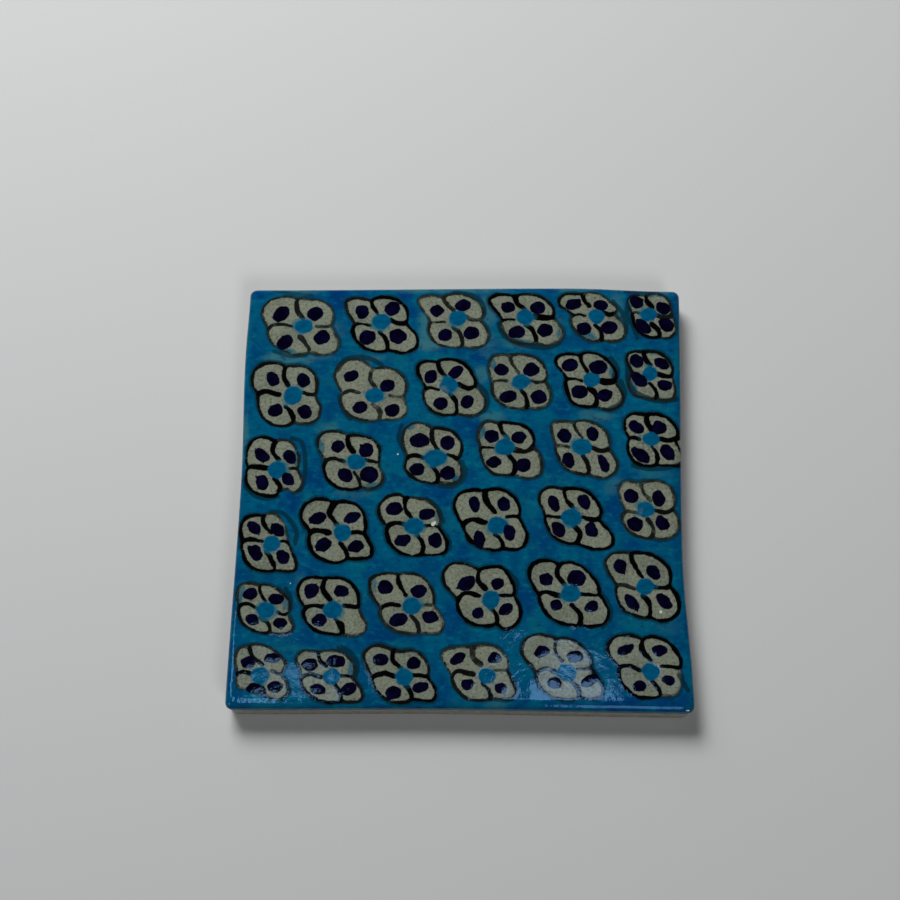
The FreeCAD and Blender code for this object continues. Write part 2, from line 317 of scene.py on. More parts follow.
    ((61, -7, 2.9, 2.8), (
        ((54.5, -7.8, 53, -3.6, 52.3, 0.4, 54.5, 2.7),
         (56.4, -7.9, 58.5, -8.3, 1.0), (56.3, -2.3, 5.1, 4.5, -70), 3, 4),
        ((60, 2.1, 62.5, 3, 66.5, 2.8, 69.6, 0.3, 70.6, -4),
         (60.3, -0.7, 62.8, -4, 1.0), (65.4, -3.2, 5.4, 3.8, -80), 4, 4),
        ((69.9, -6.8, 71.4, -9.5, 71.8, -12.8, 70, -16, 66.5, -17.2),
         (67.8, -7.9, 64, -7.3, 1.3), (66.3, -11.8, 5.2, 4.1, -60), 4, 7),
        ((62.6, -16.7, 58.5, -16.3, 55, -14, 53.3, -10.5),
         (63.3, -13.4, 61.5, -10.5, 1.3), (57.4, -12, 5.2, 4.6, -45), 5, 6))),
    # Fifth row
    ((-62.8, -42.3, 2.9, 2.7), (
        ((-71.5, -41.2, -72.5, -38.5, -72.5, -36, -71.3, -34, -68.3, -33.5),
         (-69, -40.2, -65.5, -42, 1.3), (-68.3, -37, 4.4, 4, 0), 5, 8),
        ((-65.2, -34.1, -61.5, -34.3, -58, -36.3, -55.7, -39, -55, -41.6),
         (-64.8, -37, -63, -39.3, 1.1), (-59.5, -38.7, 4.6, 3.8, 0), 6, 8),
        ((-56, -43.6, -54.4, -46, -53.9, -48.6, -55.4, -50.2, -58, -50.4),
         (-57.6, -43.7, -59, -43.1, 1.2), (-57.9, -46.8, 4.5, 3.7, 0), 5, 8),
        ((-61.4, -49.8, -66, -49.4, -69.5, -47.5, -71.3, -44.4),
         (-62, -46.8, -64.5, -44.8, 1.2), (-67.1, -45.7, 4.4, 3.8, -15), 7, 7))),
    ((-41.2, -42.2, 3.3, 3.0), (
        ((-50, -41.6, -51.4, -39.5, -52.8, -36, -51.7, -32.6, -48.5, -31.1),
         (-48, -40.7, -44.5, -41, 1.3), (-48.2, -35.8, 5, 4.6, 60), 8, 9),
        ((-44, -31.7, -41.5, -31.3, -37.5, -31.8, -34.6, -34, -33, -37.4),
         (-44.4, -35.5, -42, -39, 1.4), (-38.5, -35.8, 4.3, 4, 0), 9, 9),
        ((-33, -41, -31.9, -43.8, -30.3, -46.4, -30.2, -48.8, -31.7, -50.3, -34.5, -50.7),
         (-35.2, -40.9, -37.5, -40.7, 1.2), (0, 0, 0, 0, 0), 4, 9),
        ((-37.9, -50.2, -42, -50.2, -46, -49.2, -49.2, -46.5, -50.6, -43.6),
         (-38.2, -47.4, -40.3, -45, 1.4), (-45.3, -45.8, 4.5, 4.2, 0), 9, 9))),
    ((-15.5, -40.7, 3.1, 2.9), (
        ((-25.2, -41.4, -27.4, -38.8, -29.2, -35, -29, -31.8, -26, -30, -22.5, -29.7),
         (-23, -40.1, -19.5, -40.5, 1.2), (-24.2, -34.3, 4.8, 4.4, 0), 6, 8),
        ((-20, -30, -17, -29.6, -13.4, -30.2, -10.5, -32.5, -8.6, -36),
         (-19.6, -33.5, -17.5, -37, 1.3), (-13.3, -35.6, 5, 4.2, 20), 6, 9),
        ((-8.5, -40.2, -6.4, -43, -5.1, -46.4, -5.9, -49.2, -9, -49.9),
         (-10.4, -40.1, -12.5, -40.3, 1.0), (-9.3, -44.3, 5.1, 4.3, 0), 3, 4),
        ((-13, -49.5, -17, -49.7, -21, -48.7, -24.4, -46, -25.5, -43.2),
         (-13.6, -46.5, -15.5, -44, 1.2), (-19.7, -45.3, 5.6, 4.3, 25), 5, 6))),
    ((10.1, -38.2, 3.0, 3.0), (
        ((-0.4, -38.4, -2.4, -36.3, -4.9, -33, -5.3, -29.5, -3.4, -26.7, 0.6, -26, 4.5, -27.4),
         (1.7, -36.1, 6.5, -37.2, 1.4), (2.2, -32.9, 6, 4.4, 25), 7, 9),
        ((6.4, -28.6, 9.5, -27.3, 13.5, -27.4, 15.9, -30, 17.5, -33.6),
         (6, -31.6, 8.3, -34.8, 1.4), (12.2, -32.9, 4.4, 3.8, 25), 9, 9),
        ((17.6, -36.7, 18.9, -39.2, 19.8, -43, 18.3, -46.6, 15, -48.1),
         (15.2, -36.9, 12.8, -36.8, 1.1), (15, -41.6, 4.6, 3.4, 30), 8, 9),
        ((12.1, -46.3, 8, -47.2, 3.5, -46, 0.3, -42.8),
         (12, -43.4, 10, -40.8, 1.4), (5.9, -43, 3.8, 3.6, 30), 9, 9))),
    ((36.1, -36, 3.2, 3.0), (
        ((26, -36.6, 24.2, -34, 22.8, -30.6, 23.2, -27, 26, -25.1, 29.5, -25),
         (28.2, -35.6, 32.5, -37, 1.4), (28.2, -31.5, 4.1, 4, 0), 9, 9),
        ((32.6, -26.5, 36, -25.5, 40, -27.2, 43, -30.4, 45.1, -33.8),
         (31.7, -29.6, 34.3, -33.3, 1.5), (38, -30.8, 5.9, 5.4, 0), 9, 9),
        ((45.1, -36.2, 46.9, -38.6, 48.2, -42, 47.2, -45.4, 43, -47.1),
         (42, -36.3, 39.3, -36.2, 1.2), (42.8, -40.4, 4.7, 3.4, 35), 8, 9),
        ((38.8, -46.5, 35, -46.5, 31, -45.2, 27.5, -42),
         (39, -43, 36.3, -39.8, 1.5), (31.1, -39.9, 3.7, 3.5, 0), 9, 9))),
    ((60.2, -33.5, 3.0, 2.9), (
        ((51.2, -33.4, 50, -31.5, 48.2, -28.2, 47.6, -25, 49.4, -22.6, 53, -22),
         (54, -33.3, 56.8, -34.3, 1.1), (52.2, -26.8, 4.8, 4, 90), 6, 5),
        ((56, -22.4, 60, -22.2, 64.8, -24, 68, -27.6, 68.5, -31),
         (57.3, -27, 59.5, -30.5, 1.3), (63, -28.6, 5.1, 4, -55), 8, 9),
        ((68, -33.2, 70.2, -36.4, 71, -40.4, 69.3, -43.8, 65.5, -44.9),
         (65.6, -33.8, 62.8, -33.5, 1.5), (66.2, -38.5, 5.6, 3.6, -50), 9, 9),
        ((60.9, -43.8, 57.5, -43.5, 54, -42, 51.5, -39),
         (61.5, -39.6, 59.3, -36.5, 1.4), (55.8, -38.9, 6.2, 3.4, -55), 7, 9))),
    # Last row
    ((-63.5, -64, 2.9, 2.7), (
        ((-70.9, -63.8, -71.6, -60.5, -71.8, -57.4, -70.4, -55.2),
         (-68.6, -63, -66.5, -63.6, 1.4), (-67.7, -59.8, 4.4, 3.6, 0), 4, 8),
        ((-67.4, -54.6, -64.5, -53.9, -61, -55, -57.8, -57.3, -55.6, -60.4),
         (-66.3, -58, -63, -60.5, 1.1), (-60, -58.2, 4.7, 3.1, 0), 5, 7),
        ((-57.2, -63.6, -54.6, -67, -54.3, -70, -56.6, -71.6, -59.6, -71.4),
         (-58.4, -63.2, -60, -62.5, 1.0), (-58.5, -67.8, 4.6, 3.4, 0), 5, 4),
        ((-62, -70, -66.5, -68.6, -70.3, -68.2),
         (-62.2, -68.4, -63.6, -66.8, 1.2), (-65.2, -68.5, 4.8, 3.2, 0), 2, 8))),
    ((-40.5, -64.3, 2.8, 2.8), (
        ((-50.3, -65.2, -50.9, -62, -52.2, -58.8, -50.5, -56.2),
         (-48, -63.5, -43.8, -64.5, 1.2), (-47.9, -60.4, 4.9, 4.1, 0), 5, 7),
        ((-45, -56.4, -42, -55.8, -38, -56.2, -34.6, -59, -33.2, -62.4),
         (-44.6, -59, -42.5, -60.7, 1.2), (-39.5, -59.4, 5.3, 4.2, 0), 5, 8),
        ((-34, -64.3, -32.5, -66.6, -30.6, -69.6, -31.2, -72, -34, -72.5),
         (-35.7, -64, -37.5, -64, 1.2), (-34.8, -68.3, 4.6, 3.7, 20), 6, 8),
        ((-37.4, -72.2, -41, -72.6, -45, -71.8, -48.5, -69.3),
         (-37.7, -69.4, -39.5, -66.8, 1.3), (-44.8, -68.5, 4.7, 3.5, -10), 8, 8))),
    ((-17.3, -64.3, 2.8, 2.8), (
        ((-27.5, -64.7, -28.5, -62.5, -30.2, -59, -30.1, -56, -27.4, -54, -24, -54.4),
         (-24, -63.2, -20.5, -64, 1.5), (-25, -58.7, 4.5, 4, 0), 6, 9),
        ((-20.8, -55.5, -19, -56, -15, -55.4, -12, -57, -9.8, -60.5),
         (-21.1, -58.6, -18.3, -61.3, 1.3), (-14.3, -59.7, 4.5, 4, 0), 6, 9),
        ((-9.9, -63.8, -8.7, -66, -7.2, -69, -7.9, -71.5),
         (-12.2, -63.6, -14.5, -63.7, 1.2), (-12, -67.6, 4.7, 3.6, 15), 8, 9),
        ((-14.8, -71.4, -18, -72.5, -22, -72, -25.5, -69, -27, -66.4),
         (-15.1, -69.3, -17, -66.8, 1.3), (-20.8, -69.5, 4.9, 4.2, 15), 7, 9))),
    ((9.1, -63.7, 2.9, 2.6), (
        ((-2, -64.2, -3.7, -61, -5.4, -57.6, -4.6, -55.4, 0, -54.3),
         (-0.5, -62.2, 4.8, -63.3, 1.3), (-0.2, -58, 5.2, 3.5, 35), 4, 7),
        ((4.7, -54.3, 8, -53.5, 12, -54.3, 15, -57, 16, -60),
         (4.6, -57.5, 7, -60, 1.6), (11.5, -57.8, 4.3, 3.5, 10), 4, 5),
        ((15.4, -61.7, 16.9, -64.5, 18.4, -68.5, 17, -70.9, 13.5, -71.2),
         (13.2, -61.7, 11, -61.8, 0.9), (13.5, -67.6, 3.7, 3.4, 0), 6, 3),
        ((10.3, -70.9, 7.5, -71.6, 3.5, -71.3, 0, -68.8),
         (9.5, -68, 7.5, -66, 1.2), (3, -66.5, 3.7, 3.6, 0), 6, 7))),
    ((34.7, -62.3, 3.0, 2.9), (
        ((25, -62.8, 23.4, -60.3, 20.9, -57.5, 20.2, -54.6, 21.8, -51.2, 25.2, -49.8, 28.6, -50.4),
         (28, -61, 31.2, -62.2, 1.2), (26.5, -55.5, 5.1, 3.3, 20), 6, 5),
        ((31.5, -51.5, 34.6, -51.3, 38, -52.5, 41, -55.4, 42.3, -58.4),
         (31, -55.5, 33.3, -58.8, 1.2), (37.3, -57, 5.1, 3.8, 0), 6, 5),
        ((42, -60.7, 43.9, -63.6, 46, -67, 45.5, -70, 42, -71),
         (39.9, -61, 37.8, -61, 1.0), (41.7, -64.9, 5.7, 3.5, 30), 7, 4),
        ((38.2, -70.2, 34, -71.2, 29.5, -70.2, 26, -67),
         (38.1, -67.6, 35.8, -65, 1.3), (30.8, -65.7, 4.3, 3.6, 10), 6, 6))),
    ((61.3, -61.7, 2.8, 2.8), (
        ((51.7, -60.5, 50.2, -59, 48.1, -56, 48.1, -52.6, 51, -50.2, 55, -49.9),
         (54.5, -60, 58, -61.5, 1.2), (53.3, -54.6, 5.3, 3, 25), 7, 9),
        ((59, -51.3, 62, -50.4, 66, -51.5, 69, -54.3, 70.9, -58),
         (58.8, -55, 61.5, -58, 1.3), (64.3, -54.8, 4.3, 3.4, 0), 8, 8),
        ((70.4, -60.4, 70.8, -63.4, 70.4, -67, 68.6, -69.3, 66.2, -69.7),
         (67.5, -60.1, 64.8, -60, 1.2), (67, -64.6, 3.9, 3, 0), 1, 9),
        ((64.2, -69.4, 60, -70.5, 55.5, -69.2, 52.4, -66, 51.3, -62.8),
         (63.6, -67.3, 61.8, -65, 1.4), (57.6, -66.6, 4, 3.2, 10), 8, 9))),
)

# Pools of cobalt in the turquoise ground: x, y, half width, half height in mm, and strength
COBALT_POOLS = (
    (-72, 71, 2.5, 2, 0.9), (-67, 72.8, 1.6, 1, 1), (-44, 70, 4.5, 4.5, 1), (-20, 72, 3.5, 2.5, 1),
    (-17, 65, 2.6, 2.6, 0.8), (34.4, 64.3, 2.8, 2.8, 0.4), (30, 73.5, 4, 1.6, 0.7), (37, 54, 5, 3.5, 0.8),
    (58, 71.5, 2.2, 1.6, 0.8), (72, 69, 2.2, 3, 0.6), (71, 53, 3, 3.5, 0.6), (5.5, 48, 3.4, 3.2, 1),
    (-8, 50.5, 2.6, 2, 0.8), (-72, 56, 2.5, 8, 0.5), (-47, 54, 3, 4, 0.4), (-43, 27.5, 6, 3.5, 0.6),
    (-27, 21, 5, 4.5, 0.7), (2, 22, 5, 4.5, 0.8), (34, 29, 4.5, 3, 0.7), (3, 4, 3.2, 3.5, 0.7),
    (-49, 3, 3.4, 4.5, 0.8), (-57, -5, 4.5, 4.5, 0.9), (-22, 2, 6.5, 3, 0.7), (-9, -0.5, 8, 2.8, 0.7),
    (-25, -27, 4.5, 3.2, 0.6), (-50, -29, 4.5, 3.5, 0.6), (27, -15, 4.2, 6, 0.7), (50, -7, 3.2, 4.5, 0.7),
    (56, -20, 3.2, 2.4, 0.7), (22, -38, 4.2, 7, 0.8), (-2, -45, 3.2, 6, 0.8), (-26, -50, 4.5, 4.5, 0.8),
    (-51, -52, 5, 2.5, 0.6), (2, -23, 4.5, 3.5, 0.6), (50, -72, 9, 3, 1), (67, -71, 8, 3.2, 0.9),
    (-6, -70, 2.4, 4.5, 0.6), (-35, -54, 3.5, 3, 0.4), (-33, 72, 3, 2, 0.4), (-70, -32, 3, 3, 0.3),
)

# Where the ground's brush ran thin and the stony glaze greys it
THIN_PATCHES = (
    (-55, 73.5, 6, 1.6, 0.6), (-5, 74, 20, 1.8, 0.7), (38, 73.8, 7, 1.6, 0.5), (-12, 60, 3.5, 7, 0.6),
    (-11, 53, 5, 3, 0.7), (8, 66, 3, 6, 0.6), (9, 53, 4, 5, 0.4), (19, 53, 5, 2, 0.6),
    (31, 60, 3.5, 4, 0.5), (53, 64, 2.6, 8, 0.6), (-33, 47.5, 7, 1.8, 0.6), (-60, 47.5, 9, 2, 0.8),
    (-49, 49, 5, 2.5, 0.7), (-21, 54, 3, 4, 0.5), (-44, 57, 3, 4, 0.4), (68, 72, 3, 1.6, 0.4),
    (10, 26, 5, 2, 0.5), (45, 26.5, 6, 2, 0.7), (51, 1, 4, 3, 0.5), (65, 6, 7, 2.2, 0.2),
    (-36, -2, 6, 2.4, 0.5), (-45, 21, 4, 3, 0.4), (6.5, 41, 2.5, 3.5, 0.5), (-73.5, 20, 1.2, 8, 0.5),
    (73.4, 24, 1.2, 3.5, 0.4), (68, -47, 4, 3, 0.2), (12, -72, 3, 2, 0.5), (-52, -35, 2, 6, 0.3),
)

# Chips and pinholes that show the white glaze under the paint: x, y, half width in mm
CHIPS = (
    (-9.1, -12.6, 0.65), (-8.6, -11.9, 0.5), (-21.4, 12.3, 0.38), (65.0, -42.0, 0.55),
    (-55.3, -33.2, 0.3), (-62.0, -35.6, 0.25),
)

# Points where the brush left a dot: from x, y inside the dot to its tip, and half width at the start
DOT_TAILS = (
    (-67.6, 12.2, -69.7, 14.1, 1.3), (-66.8, 10.5, -66.4, 8.6, 1.0), (-57.2, 10.6, -55.8, 8.4, 1.2),
    (-66.8, 2.4, -69.0, 4.3, 1.3), (-68.7, -13.6, -70.2, -11.9, 1.1), (-67.6, -15.2, -66.4, -17.0, 1.1),
    (-60.9, -14.2, -62.7, -12.7, 1.1), (-68.1, -21.9, -70.1, -20.2, 1.2), (-46.6, -10.2, -45.0, -8.8, 1.1),
    (-48.3, -11.4, -50.1, -12.6, 1.0), (-36.9, -11.1, -38.8, -12.3, 0.9), (-45.8, -20.8, -47.6, -22.2, 1.2),
    (-39.5, 5.4, -41.3, 6.9, 1.2), (-32.7, 14.4, -34.5, 15.9, 1.2), (47.6, 8.6, 48.4, 5.9, 1.1),
    (46.6, 10.6, 45.5, 12.1, 1.1), (35.8, 9.3, 36.4, 7.4, 1.0), (30.9, -6.0, 31.9, -8.4, 1.0),
    (43.3, -15.0, 44.0, -16.5, 1.0), (32.9, -15.0, 34.0, -16.8, 1.0), (69.4, 12.0, 71.1, 10.4, 1.2),
    (66.9, -12.8, 68.0, -14.3, 1.1), (56.4, -40.3, 57.9, -42.3, 0.9), (66.8, -39.5, 68.2, -41.1, 1.0),
    (52.6, -28.0, 53.7, -29.5, 0.9), (1.0, -33.4, -1.1, -34.6, 1.2), (52.2, -55.2, 50.9, -56.6, 0.9),
    (-48.0, -34.6, -46.8, -33.3, 1.0), (-46.0, -68.3, -47.4, -68.0, 0.8),
)

# Strokes that strayed from their flowers, a first outline or a slip of the brush: points, width, paint
STRAY_STROKES = (
    ((-57.3, 17.9, -54.1, 16.6, -52.9, 13.5, -52.3, 7.9, -52.5, 2.3, -53.5, -0.9), 1.4, 0.8),
    ((-62.9, -8.4, -59.1, -9.0, -56.0, -12.1, -54.1, -15.9, -54.5, -19.6), 1.4, 0.8),
    ((70.3, -62.8, 71.5, -65.3, 73.0, -67.8), 1.5, 1.0),
    ((56.5, 68.5, 56.3, 63.5, 58.4, 59.8, 59.6, 55.4), 1.4, 0.8),
    ((-38.5, -54.6, -34.8, -56.5, -32.5, -60.3, -32.9, -63.8), 1.7, 0.8),
    ((4.5, 38.5, 7.6, 35.5, 8.7, 32.0, 7.8, 28.6, 5.0, 26.5), 1.4, 0.8),
    ((50.4, 47.4, 52.2, 43.6, 51.6, 39.8), 2.4, 0.9),
    ((53.7, 39.0, 54.9, 35.0, 53.4, 31.0, 49.8, 28.8), 1.7, 0.9),
    ((51.5, 69.3, 54.0, 66.0, 55.8, 61.5, 55.8, 57.6), 1.5, 0.8),
    ((56.0, 73.2, 61.5, 73.6, 67.0, 73.0), 1.4, 0.7),
    ((56.3, 45.5, 56.3, 39.5, 58.0, 35.6, 62.0, 33.2, 67.0, 32.0, 72.0, 32.6), 1.8, 0.9),
    ((12.4, 60.5, 14.0, 56.6, 18.0, 53.7, 23.0, 52.3, 29.0, 51.9, 32.5, 53.3), 2.1, 0.9),
    ((-43.0, 43.0, -40.5, 46.8, -36.0, 47.9, -31.5, 47.2, -28.0, 45.0), 1.7, 0.8),
    ((-42.0, 33.5, -40.6, 28.4, -37.8, 24.8), 1.4, 0.7),
    ((-72.0, 0.5, -69.0, -2.6, -64.5, -3.8, -61.0, -3.0), 1.5, 0.8),
    ((-51.6, -5.5, -53.2, -9.5, -51.6, -14.2), 1.3, 0.9),
    ((-20.4, 22.8, -21.3, 18.0, -19.4, 13.6), 1.3, 0.8),
    ((0.2, 9.5, 1.4, 5.4, -1.5, 1.1, -7.0, 0.9), 1.5, 0.7),
    ((-11.5, -3.4, -7.4, -7.0, -5.6, -11.6), 1.1, 0.9),
    ((-4.2, -16.5, -3.4, -20.0, -5.5, -23.3), 1.1, 0.8),
    ((-56.8, -35.0, -54.9, -38.3, -55.2, -41.8), 1.3, 0.8),
    ((15.8, -28.8, 18.6, -32.3, 18.3, -36.2), 1.4, 0.8),
    ((45.0, -34.6, 48.3, -39.6, 48.8, -44.0, 46.2, -47.3), 1.4, 0.9),
    ((57.0, 8.6, 62.0, 7.4, 69.0, 7.8, 73.0, 9.6), 1.4, 0.8),
    ((-66.5, 73.6, -60.0, 72.4, -53.0, 71.4), 1.3, 0.6),
    ((-65.0, 50.0, -60.0, 48.2, -54.0, 48.4), 1.3, 0.7),
    ((-3.5, 73.0, 2.5, 72.0, 6.8, 68.5, 7.4, 64.5), 1.1, 0.7),
)

# Where the blue laps over the outer part of a petal: x, y, half width, half height in mm, and strength
LAPS = (
    (-60, 49.3, 5.5, 1.4, 0.6), (18.5, 54.2, 5.5, 1.4, 0.9), (42.8, 56, 3.6, 1.9, 0.6),
    (32.6, 57, 1.2, 3, 0.5), (66.5, 71.6, 5.5, 1.3, 0.7), (57.3, 68, 1.4, 3.6, 0.9),
    (9.6, 46, 1.2, 3.5, 0.7), (51.8, 43, 1.6, 3.4, 0.9), (66.5, 50.2, 4, 1.2, 0.7),
    (58.4, 37, 1.5, 3.6, 0.9), (-55, 12, 1.7, 5.5, 0.9), (-48.2, 14, 1.4, 4.5, 0.8),
    (-29, 1, 4.5, 1.2, 0.7), (-18.3, 22.2, 2.2, 1.8, 0.7), (-1.6, 2.8, 3, 1.7, 0.7),
    (6.4, 21.5, 1.2, 3.6, 0.6), (7.2, 11, 1.1, 3.4, 0.4), (-56.7, -12.6, 1.7, 5.5, 0.9),
    (-7, -9.2, 1.4, 3.6, 0.5), (-71.6, -37, 1.4, 3.6, 0.7), (-56.5, -39.2, 1.4, 3.4, 0.7),
    (-34, -60.2, 1.8, 4.6, 0.9), (-54.2, -67, 1.2, 3.4, 0.6), (-28.6, -33, 1.1, 3.6, 0.5),
    (-16.5, -54.6, 4.5, 1.2, 0.6), (7.8, 30, 1.2, 3, 0.5),
)

# Where a centre disk's blue is thin and the stony glaze shows: x, y, half width, half height, strength
DISK_GAPS = (
    (-6.6, 36.2, 1.6, 1.5, 0.45), (-2.4, 36.0, 1.4, 1.2, 0.3), (58.4, -8.4, 1.0, 1.5, 0.4),
)

# Where the stony glaze lies bare beside a flower: x, y, length, width in mm and tilt in degrees
BARE_PATCHES = ((73.5, 17.4, 4.6, 2.6, 105),)

# Width in mm of an outline that holds 0 to 9 parts of paint: a full brush leaves a broader line
OUTLINE_WIDTH = (0.9, 0.9, 0.9, 0.92, 0.94, 0.97, 1.0, 1.08, 1.16, 1.26)
MOST_PAINT = 9


def smooth(low, high, value):
    """0 below low, 1 above high, and the cubic 3t^2 - 2t^3 between them."""
    t = np.clip((value - low) / (high - low), 0, 1)
    return t * t * (3 - 2 * t)


def noise(x, y, size, seed):
    """Smooth random value from -1 to 1: random heights on a square lattice, eased between its nodes.

    The seed picks the heights, and the size is how many mm lie between two of them.
    """
    heights = np.random.default_rng(seed).uniform(-1, 1, (LATTICE, LATTICE))
    u = np.asarray(x, float) / size + LATTICE_START
    v = np.asarray(y, float) / size + LATTICE_START
    i = np.floor(u).astype(int)
    j = np.floor(v).astype(int)
    a = smooth(0, 1, u - i)
    b = smooth(0, 1, v - j)
    i0, i1, j0, j1 = i % LATTICE, (i + 1) % LATTICE, j % LATTICE, (j + 1) % LATTICE
    front = heights[i0, j0] * (1 - a) + heights[i1, j0] * a
    back = heights[i0, j1] * (1 - a) + heights[i1, j1] * a
    return front * (1 - b) + back * b


def uneven(x, y, kind, seed):
    """Noise of a kind, which is its amount and how many mm it changes over."""
    amount, size = kind
    return amount * noise(x, y, size, seed)


def side_line(side, inset, radius):
    """One side of the slab from the middle of one corner arc to the middle of the next, in mm.

    The side stands off the square by its trim, eased from point to point with 3t^2 - 2t^3, plus the
    inset. A corner arc is the corner's centre plus the radius at an angle that turns evenly.
    """
    half = np.array([WIDTH / 2, DEPTH / 2])
    corners = np.array([(-1, -1), (1, -1), (1, 1), (-1, 1)]) * half
    start, end = corners[side], corners[(side + 1) % 4]
    length = np.linalg.norm(end - start)
    along = (end - start) / length
    inward = np.array([-along[1], along[0]])

    trim = np.array(TRIMS[side], float)
    before = TRIMS[side - 1][-1][1] + inset + radius
    after = length - TRIMS[(side + 1) % 4][0][1] - inset - radius
    knots = trim[:, 0] * length
    knots[0], knots[-1] = before, after
    run = np.linspace(before, after, SIDE_STEPS)
    k = np.clip(np.searchsorted(knots, run, side="right") - 1, 0, len(knots) - 2)
    ease = smooth(0, 1, (run - knots[k]) / (knots[k + 1] - knots[k]))
    off = trim[k, 1] + (trim[k + 1, 1] - trim[k, 1]) * ease + inset
    straight = start + run[:, None] * along + off[:, None] * inward

    turn = np.linspace(0, math.pi / 4, ARC_STEPS)[:, None]
    first_centre = straight[0] + inward * radius
    last_centre = straight[-1] + inward * radius
    first = first_centre - (along * np.sin(turn) + inward * np.cos(turn)) * radius
    last = last_centre + (along * np.sin(turn) - inward * np.cos(turn)) * radius
    return np.concatenate([first[::-1][:-1], straight, last[1:]])


def spaced(line, shares):
    """Points of a polyline at the given shares of its length."""
    steps = np.linalg.norm(np.diff(line, axis=0), axis=1)
    reach = np.concatenate([[0], np.cumsum(steps)]) / steps.sum()
    return np.stack([np.interp(shares, reach, line[:, 0]), np.interp(shares, reach, line[:, 1])], -1)


def grid_shares():
    """Shares across the face: close rows over the pillow, evenly spaced between the pillows."""
    turn = np.linspace(0, math.pi / 2, PILLOW_ROWS + 1)
    pillow = PILLOW_WIDTH * (1 - np.cos(turn)) / WIDTH
    middle = np.linspace(pillow[-1], 1 - pillow[-1], FACE_ROWS + 1)
    return np.concatenate([pillow[:-1], middle, 1 - pillow[:-1][::-1]])


def face_grid(shares):
    """The face as a Coons patch: each point is the blend of the sides across it, less the corners."""
    front, right, back, left = (
        spaced(side_line(side, 0, CORNER_RADIUS), s)
        for side, s in enumerate((shares, shares, 1 - shares, 1 - shares))
    )
    u = shares[:, None, None]
    v = shares[None, :, None]
    across = (1 - v) * front[:, None] + v * back[:, None]
    along = (1 - u) * left[None] + u * right[None]
    corners = (1 - u) * ((1 - v) * front[0] + v * back[0]) + u * ((1 - v) * front[-1] + v * back[-1])
    return across + along - corners


def pillow_rise(shares):
    """How far the pillow has risen, from 0 at the glaze line to 1 on the face, as a quarter ellipse."""
    inset = np.minimum(shares, 1 - shares) * WIDTH / PILLOW_WIDTH
    return np.sqrt(1 - (1 - np.clip(inset, 0, 1)) ** 2)


def ring(inset, radius, shares):
    """The outline as a closed ring of points, anticlockwise from the front left corner."""
    return np.concatenate([spaced(side_line(side, inset, radius), shares[:-1]) for side in range(4)])


def curve(points, lead=None, trail=None, steps=8):
    """A smooth curve through the points, a centripetal Catmull-Rom spline.

    Between two points it blends the parabolas through each and its neighbours, timed by the square
    root of the distances. Lead and trail are the points that it would come from and go on to.
    """
    p = np.array(points, float).reshape(-1, 2)
    first = 2 * p[0] - p[1] if lead is None else np.array(lead, float)
    last = 2 * p[-1] - p[-2] if trail is None else np.array(trail, float)
    p = np.concatenate([[first], p, [last]])
    share = np.linspace(0, 1, steps, endpoint=False)[:, None]
    spans = []
    for a, b, c, d in zip(p, p[1:], p[2:], p[3:]):
        ta = 0.0
        tb = ta + math.sqrt(np.linalg.norm(b - a))
        tc = tb + math.sqrt(np.linalg.norm(c - b))
        td = tc + math.sqrt(np.linalg.norm(d - c))
        t = tb + (tc - tb) * share
        ab = (tb - t) / (tb - ta) * a + (t - ta) / (tb - ta) * b
        bc = (tc - t) / (tc - tb) * b + (t - tb) / (tc - tb) * c
        cd = (td - t) / (td - tc) * c + (t - tc) / (td - tc) * d
        abc = (tc - t) / (tc - ta) * ab + (t - ta) / (tc - ta) * bc
        bcd = (td - t) / (td - tb) * bc + (t - tb) / (td - tb) * cd
        spans.append((tc - t) / (tc - tb) * abc + (t - tb) / (tc - tb) * bcd)
    return np.concatenate([*spans, p[-2:-1]])


def nearest(x, y, path):
    """Distance from each point to a polyline, and how far along it the nearest place is."""
    a, b = path[:-1], path[1:]
    step = b - a
    size = (step**2).sum(1) + TINY
    t = ((x[:, None] - a[:, 0]) * step[:, 0] + (y[:, None] - a[:, 1]) * step[:, 1]) / size
    t = np.clip(t, 0, 1)
    off = np.hypot(x[:, None] - a[:, 0] - t * step[:, 0], y[:, None] - a[:, 1] - t * step[:, 1])
    k = off.argmin(1)
    lengths = np.sqrt(size)
    reach = np.concatenate([[0], np.cumsum(lengths)[:-1]])
    rows = np.arange(len(x))
    return off[rows, k], reach[k] + t[rows, k] * lengths[k]


def inside(x, y, ring_points):
    """True where a point is inside a closed line: a ray from it crosses the line an odd number of times."""
    a = ring_points
    b = np.roll(ring_points, -1, axis=0)
    spans = (a[:, 1] > y[:, None]) != (b[:, 1] > y[:, None])
    rise = b[:, 1] - a[:, 1]
    rise = np.where(rise == 0, TINY, rise)
    meet = a[:, 0] + (y[:, None] - a[:, 1]) / rise * (b[:, 0] - a[:, 0])
    return (spans & (x[:, None] < meet)).sum(1) % 2 == 1


def ellipse(x, y, centre_x, centre_y, length, width, tilt):
    """Distance in mm outside an ellipse, negative inside: its scaled radius less one, by its half width."""
    c, s = math.cos(math.radians(tilt)), math.sin(math.radians(tilt))
    u = ((x - centre_x) * c + (y - centre_y) * s) / (length / 2)
    v = ((y - centre_y) * c - (x - centre_x) * s) / (width / 2)
    return (np.hypot(u, v) - 1) * min(length, width) / 2


